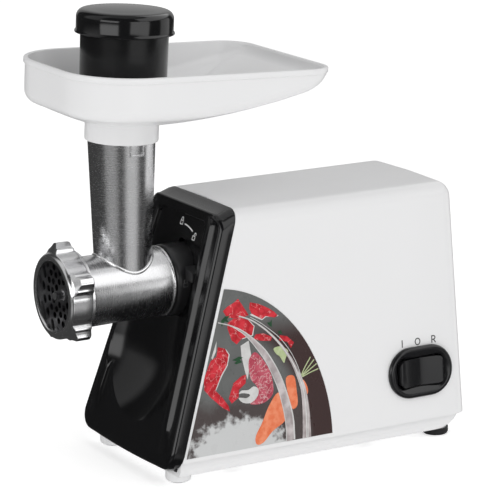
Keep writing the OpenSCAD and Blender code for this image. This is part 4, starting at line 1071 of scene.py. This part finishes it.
INNER_SWEEP = [
    (45.6, 99.4), (54.0, 96.6), (62.8, 92.4), (70.0, 87.4), (77.1, 81.1), (83.6, 74.2), (88.5, 66.9),
    (93.3, 58.2), (97.0, 49.7), (99.9, 41.2), (102.2, 32.8), (104.2, 24.5), (105.2, 16.3), (105.3, 3.5)]
INNER_EDGE = [
    (46.0, 99.0), (55.5, 95.6), (64.1, 90.0), (71.5, 82.6), (78.2, 73.7), (84.1, 64.6), (88.7, 54.9),
    (92.6, 45.0), (95.2, 35.2), (97.4, 24.2), (98.4, 14.7), (98.4, 2.8)]
OUTER_SWEEP = [
    (63.3, 101.8), (72.1, 98.1), (79.3, 93.4), (86.3, 87.6), (93.0, 80.8), (98.0, 74.8), (102.3, 68.6),
    (106.2, 62.3), (109.5, 55.1), (112.2, 48.1), (114.6, 41.0), (115.7, 33.4), (116.2, 25.3), (116.3, 14.5),
    (116.0, 3.1)]
OUTER_LINE = [
    (72.5, 99.8), (80.9, 94.5), (88.2, 88.7), (95.7, 82.1), (102.0, 74.5), (106.8, 66.9), (110.6, 58.6),
    (113.5, 49.9), (115.9, 41.5), (117.5, 31.8), (117.9, 22.3), (117.4, 3.0)]


def make_foil():
    sheet = solid(prism(foil_outline(), 0.06, FOIL_TOP), ON_SIDE)
    piece(sheet, "foil_sheet", "machine", "foil_print", printed("ink_backdrop", backdrop_ink), "side_foil")

    def rounded(shapes, steps):
        return [curve(points, True, steps) for points in shapes]

    gauze = curve(INNER_SWEEP) + curve(INNER_EDGE)[::-1]
    layers = [
        ("ink_fat", INK_PALE, FOIL_FAT, ()),
        ("ink_meat", printed("ink_meat", MEAT), FOIL_MEAT, ()),
        ("ink_steak", printed("ink_marbled", MARBLE), rounded(FOIL_STEAK, 3), ()),
        ("ink_carrots", printed("ink_carrot", CARROT), rounded(FOIL_CARROTS, 4), ()),
        ("ink_onion", printed("ink_onion", ONION), rounded(FOIL_ONIONS, 4),
         [(line, 0.8) for line in FOIL_STALKS]),
        ("ink_leaves", printed("ink_leaf", LEAF), FOIL_LEAVES, ()),
        ("ink_bulbs", INK_PALE, rounded(FOIL_BULBS, 3), ()),
        ("ink_gauze", printed("ink_gauze", GAUZE), [gauze], [(OUTER_SWEEP, lambda t: 1.0 + 6.5 * t * t)]),
        ("ink_sweeps", INK_PALE, (), [
            (INNER_SWEEP, lambda t: 0.6 + 0.6 * t), (INNER_EDGE, 0.5), (OUTER_SWEEP, lambda t: 0.6 + 0.5 * t),
            (OUTER_LINE, 0.45)])]
    for k, (name, ink, shapes, lines) in enumerate(layers):
        low, top = FOIL_TOP - 0.15 + INK_STEP * k, FOIL_TOP + INK_STEP * (k + 1)
        parts = [solid(prism(shape, low, top), ON_SIDE) for shape in shapes]
        parts += [stroke(curve(points), width, low, top, ON_SIDE) for points, width in lines]
        for part in parts:
            combine(part, solid(prism(foil_outline(-0.5), -1, 2), ON_SIDE), operation="INTERSECT")
        piece(joined(parts), name, "machine", "foil_print", ink)


make_foil()

# ---------------------------------------------------------------- CAD parts that stay

INSIDE = {
    "base_white": surface("base_white", (0.77, 0.77, 0.775), 0.34, tint=0.01, grain=0.12),
    "feet_rubber": RUBBER,
    "button_black": SATIN,
    "switch_case": surface("nylon_black", (0.03, 0.03, 0.031), 0.5, grain=0.3, grain_mm=0.5),
    "board_green": surface("board_green", (0.02, 0.14, 0.05), 0.4, grain=0.3, grain_mm=0.4),
    "capacitor_yellow": surface("capacitor_yellow", (0.70, 0.45, 0.06), 0.35),
    "wire_brown": surface("wire_brown", (0.22, 0.08, 0.03), 0.45),
    "screw_steel": STEEL,
    "gearbox_alloy": surface("die_cast_alloy", (0.42, 0.43, 0.44), 0.48, metal=1.0, spread=0.25, grain=0.6,
                             grain_mm=1.0, depth=0.06),
    "bush_bronze": surface("sintered_bronze", (0.50, 0.30, 0.14), 0.42, metal=1.0, grain=0.5, grain_mm=0.4),
    "lamination": surface("laminated_steel", (0.20, 0.21, 0.23), 0.45, metal=1.0, grain=0.8, grain_mm=0.5,
                          stretch=(0.05, 1, 0.05)),
    "copper_coil": surface("enamelled_copper", (0.52, 0.18, 0.07), 0.30, metal=1.0, coat=0.4, grain=0.7,
                           grain_mm=0.6, depth=0.06),
    "bearing_steel": STEEL,
    "holder_resin": surface("phenolic_resin", (0.40, 0.28, 0.15), 0.5, tint=0.15),
    "carbon": surface("carbon", (0.02, 0.02, 0.022), 0.6, grain=0.6, grain_mm=0.3),
    "nylon_white": surface("nylon_white", (0.74, 0.72, 0.65), 0.42, tint=0.03),
    "gear_steel": surface("sintered_steel", (0.38, 0.38, 0.40), 0.40, metal=1.0, grain=0.5, grain_mm=0.4),
    "head_aluminium": CAST,
    "plate_steel": surface("ground_steel", (0.13, 0.13, 0.135), 0.40, metal=1.0, spread=0.3, grain=0.6,
                           grain_mm=0.5, worn=0.4),
    "knife_steel": surface("stainless_steel", (0.50, 0.50, 0.52), 0.22, metal=1.0, spread=0.3, grain=0.5,
                           grain_mm=0.4),
}
ROUNDED = {"base_plate": 0.6, "rubber_feet": 0.4, "release_button": 0.5, "cutting_plate": 0.15, "auger": 0.3,
           "cord_gland": 0.4, "gearbox_cover": 0.4, "gearbox_housing": 0.4, "cross_knife": 0.2}


def dress_kept_nodes():
    for part in frame["record"]["subparts"]:
        obj = frame["nodes"][part["node"]]
        if obj.hide_render:
            continue
        material = INSIDE[part["material_slot"]]
        if not obj.material_slots:
            obj.data.materials.append(material)
        for slot in obj.material_slots:
            slot.material = material
        smooth(obj, 35)
        if part["node"] in ROUNDED:
            soften(obj, ROUNDED[part["node"]], 2, 40)


dress_kept_nodes()

# ---------------------------------------------------------------- floor, light and camera

# The camera stands this far round to the right of the front, and this far up
VIEW_AZIMUTH, VIEW_ELEVATION = 59.3, 13.9
TARGET = AT_HEAD @ Vector((-0.945, 108.325, 155.15))
DISTANCE = 2.0943


def direction(azimuth, elevation):
    """Unit vector; azimuth is from the front (-Y) towards +X, in degrees."""
    a, e = math.radians(azimuth), math.radians(elevation)
    return Vector((math.sin(a) * math.cos(e), -math.cos(a) * math.cos(e), math.sin(e)))


def make_camera():
    data = bpy.data.cameras.new("view")
    data.sensor_width = 36
    data.lens = 201.6
    data.clip_start, data.clip_end = 0.05, 50
    camera = bpy.data.objects.new("view", data)
    back = direction(VIEW_AZIMUTH, VIEW_ELEVATION)
    camera.location = TARGET + back * DISTANCE
    camera.rotation_euler = back.to_track_quat("Z", "Y").to_euler()
    bpy.context.scene.collection.objects.link(camera)
    bpy.context.scene.camera = camera


def area_light(name, azimuth, elevation, distance, size, power):
    """A soft panel that faces the machine, given by its bearing from the front and its height."""
    data = bpy.data.lights.new(name, "AREA")
    data.shape = "RECTANGLE"
    data.size, data.size_y = size
    data.energy = power
    lamp = bpy.data.objects.new(name, data)
    towards = direction(azimuth, elevation)
    lamp.location = TARGET + towards * distance
    lamp.rotation_euler = towards.to_track_quat("Z", "Y").to_euler()
    lamp.visible_glossy = False
    bpy.context.scene.collection.objects.link(lamp)


def make_world():
    """A pale studio: an even glow for diffuse light, and soft panels in the dark for reflections."""
    world = bpy.data.worlds.new("studio")
    bpy.context.scene.world = world
    world.use_nodes = True
    world.cycles.sampling_method = "NONE"
    world.node_tree.nodes.clear()
    n = Nodes(world.node_tree)
    ray = n.new("ShaderNodeTexCoord").outputs["Generated"]
    parts = n.new("ShaderNodeSeparateXYZ", {0: ray}).outputs
    bearing = n.math("ARCTAN2", parts["X"], n.math("MULTIPLY", parts["Y"], -1))
    # Bearing from the camera's side, positive to the right of the picture
    beta = n.math("SUBTRACT", n.math("DEGREES", bearing), VIEW_AZIMUTH)
    beta = n.math("WRAP", beta, 180)
    beta.node.inputs[2].default_value = -180
    height = n.math("DEGREES", n.math("ARCSINE", parts["Z"]))

    def panel(left, right, low, high, power, soft=1.5, value=None):
        """Light from left to right of the camera's bearing and low to high, fading over soft degrees."""
        value = value or beta
        mask = n.ramp(value, left - soft, left + soft)
        for v, a, b in ((value, right + soft, right - soft), (height, low - soft, low + soft),
                        (height, high + soft, high - soft)):
            mask = n.math("MULTIPLY", mask, n.ramp(v, a, b))
        return n.math("MULTIPLY", mask, power)

    panels = [
        panel(-57, -12, 2, 22, 2.2), panel(-57, -12, -33, -10, 0.30, 10), panel(16, 62, -6, 16, 1.6),
        panel(16, 62, -33, -10, 0.50, 11), panel(40, 165, 20, 60, 1.3, 4), panel(95, 130, -20, 16, 0.8, 3),
        panel(150, 400, -5, 60, 0.4, 4, n.math("ABSOLUTE", beta)), panel(-110, -60, 10, 70, 0.5, 8),
        panel(-400, 400, 66, 100, 0.35, 8)]
    total = 0.05
    for value in panels:
        total = n.math("ADD", value, total)
    side = n.ramp(n.math("ABSOLUTE", beta), 30, 150, 0.80, 0.55)
    even = n.math("MULTIPLY", side, n.ramp(height, -50, 35, 0.42, 1.04))
    rays = n.new("ShaderNodeLightPath").outputs
    seen = n.blend(rays["Is Camera Ray"], n.blend(rays["Is Glossy Ray"], even, total), 1.0)
    glow = n.new("ShaderNodeBackground", {"Color": (1, 1, 1, 1), "Strength": seen})
    n.new("ShaderNodeOutputWorld", {"Surface": glow.outputs[0]})


def make_floor():
    reach = 6000  # mm to each side, past the picture's edges
    corners = [(-reach, -reach, 0), (reach, -reach, 0), (reach, reach, 0), (-reach, reach, 0)]
    below = AT_HEAD @ Matrix.Translation((0, 0, -0.05))
    floor = solid((corners, [(0, 1, 2, 3)]), below, "floor")
    material = bpy.data.materials.new("floor")
    material.use_nodes = True
    inputs = material.node_tree.nodes["Principled BSDF"].inputs
    for key, value in (("Base Color", (0.9, 0.9, 0.9, 1)), ("Roughness", 0.9), ("Specular IOR Level", 0.1),
                       ("Emission Color", (1, 1, 1, 1)), ("Emission Strength", 0.45)):
        inputs[key].default_value = value
    dress(floor, material)
    floor.visible_glossy = False


make_camera()
make_world()
make_floor()
area_light("key", VIEW_AZIMUTH + 35, 48, 2.2, (1.2, 1.0), 6)
area_light("fill", VIEW_AZIMUTH - 55, 25, 2.4, (1.2, 1.2), 3)
bpy.context.scene.view_settings.view_transform = "Standard"
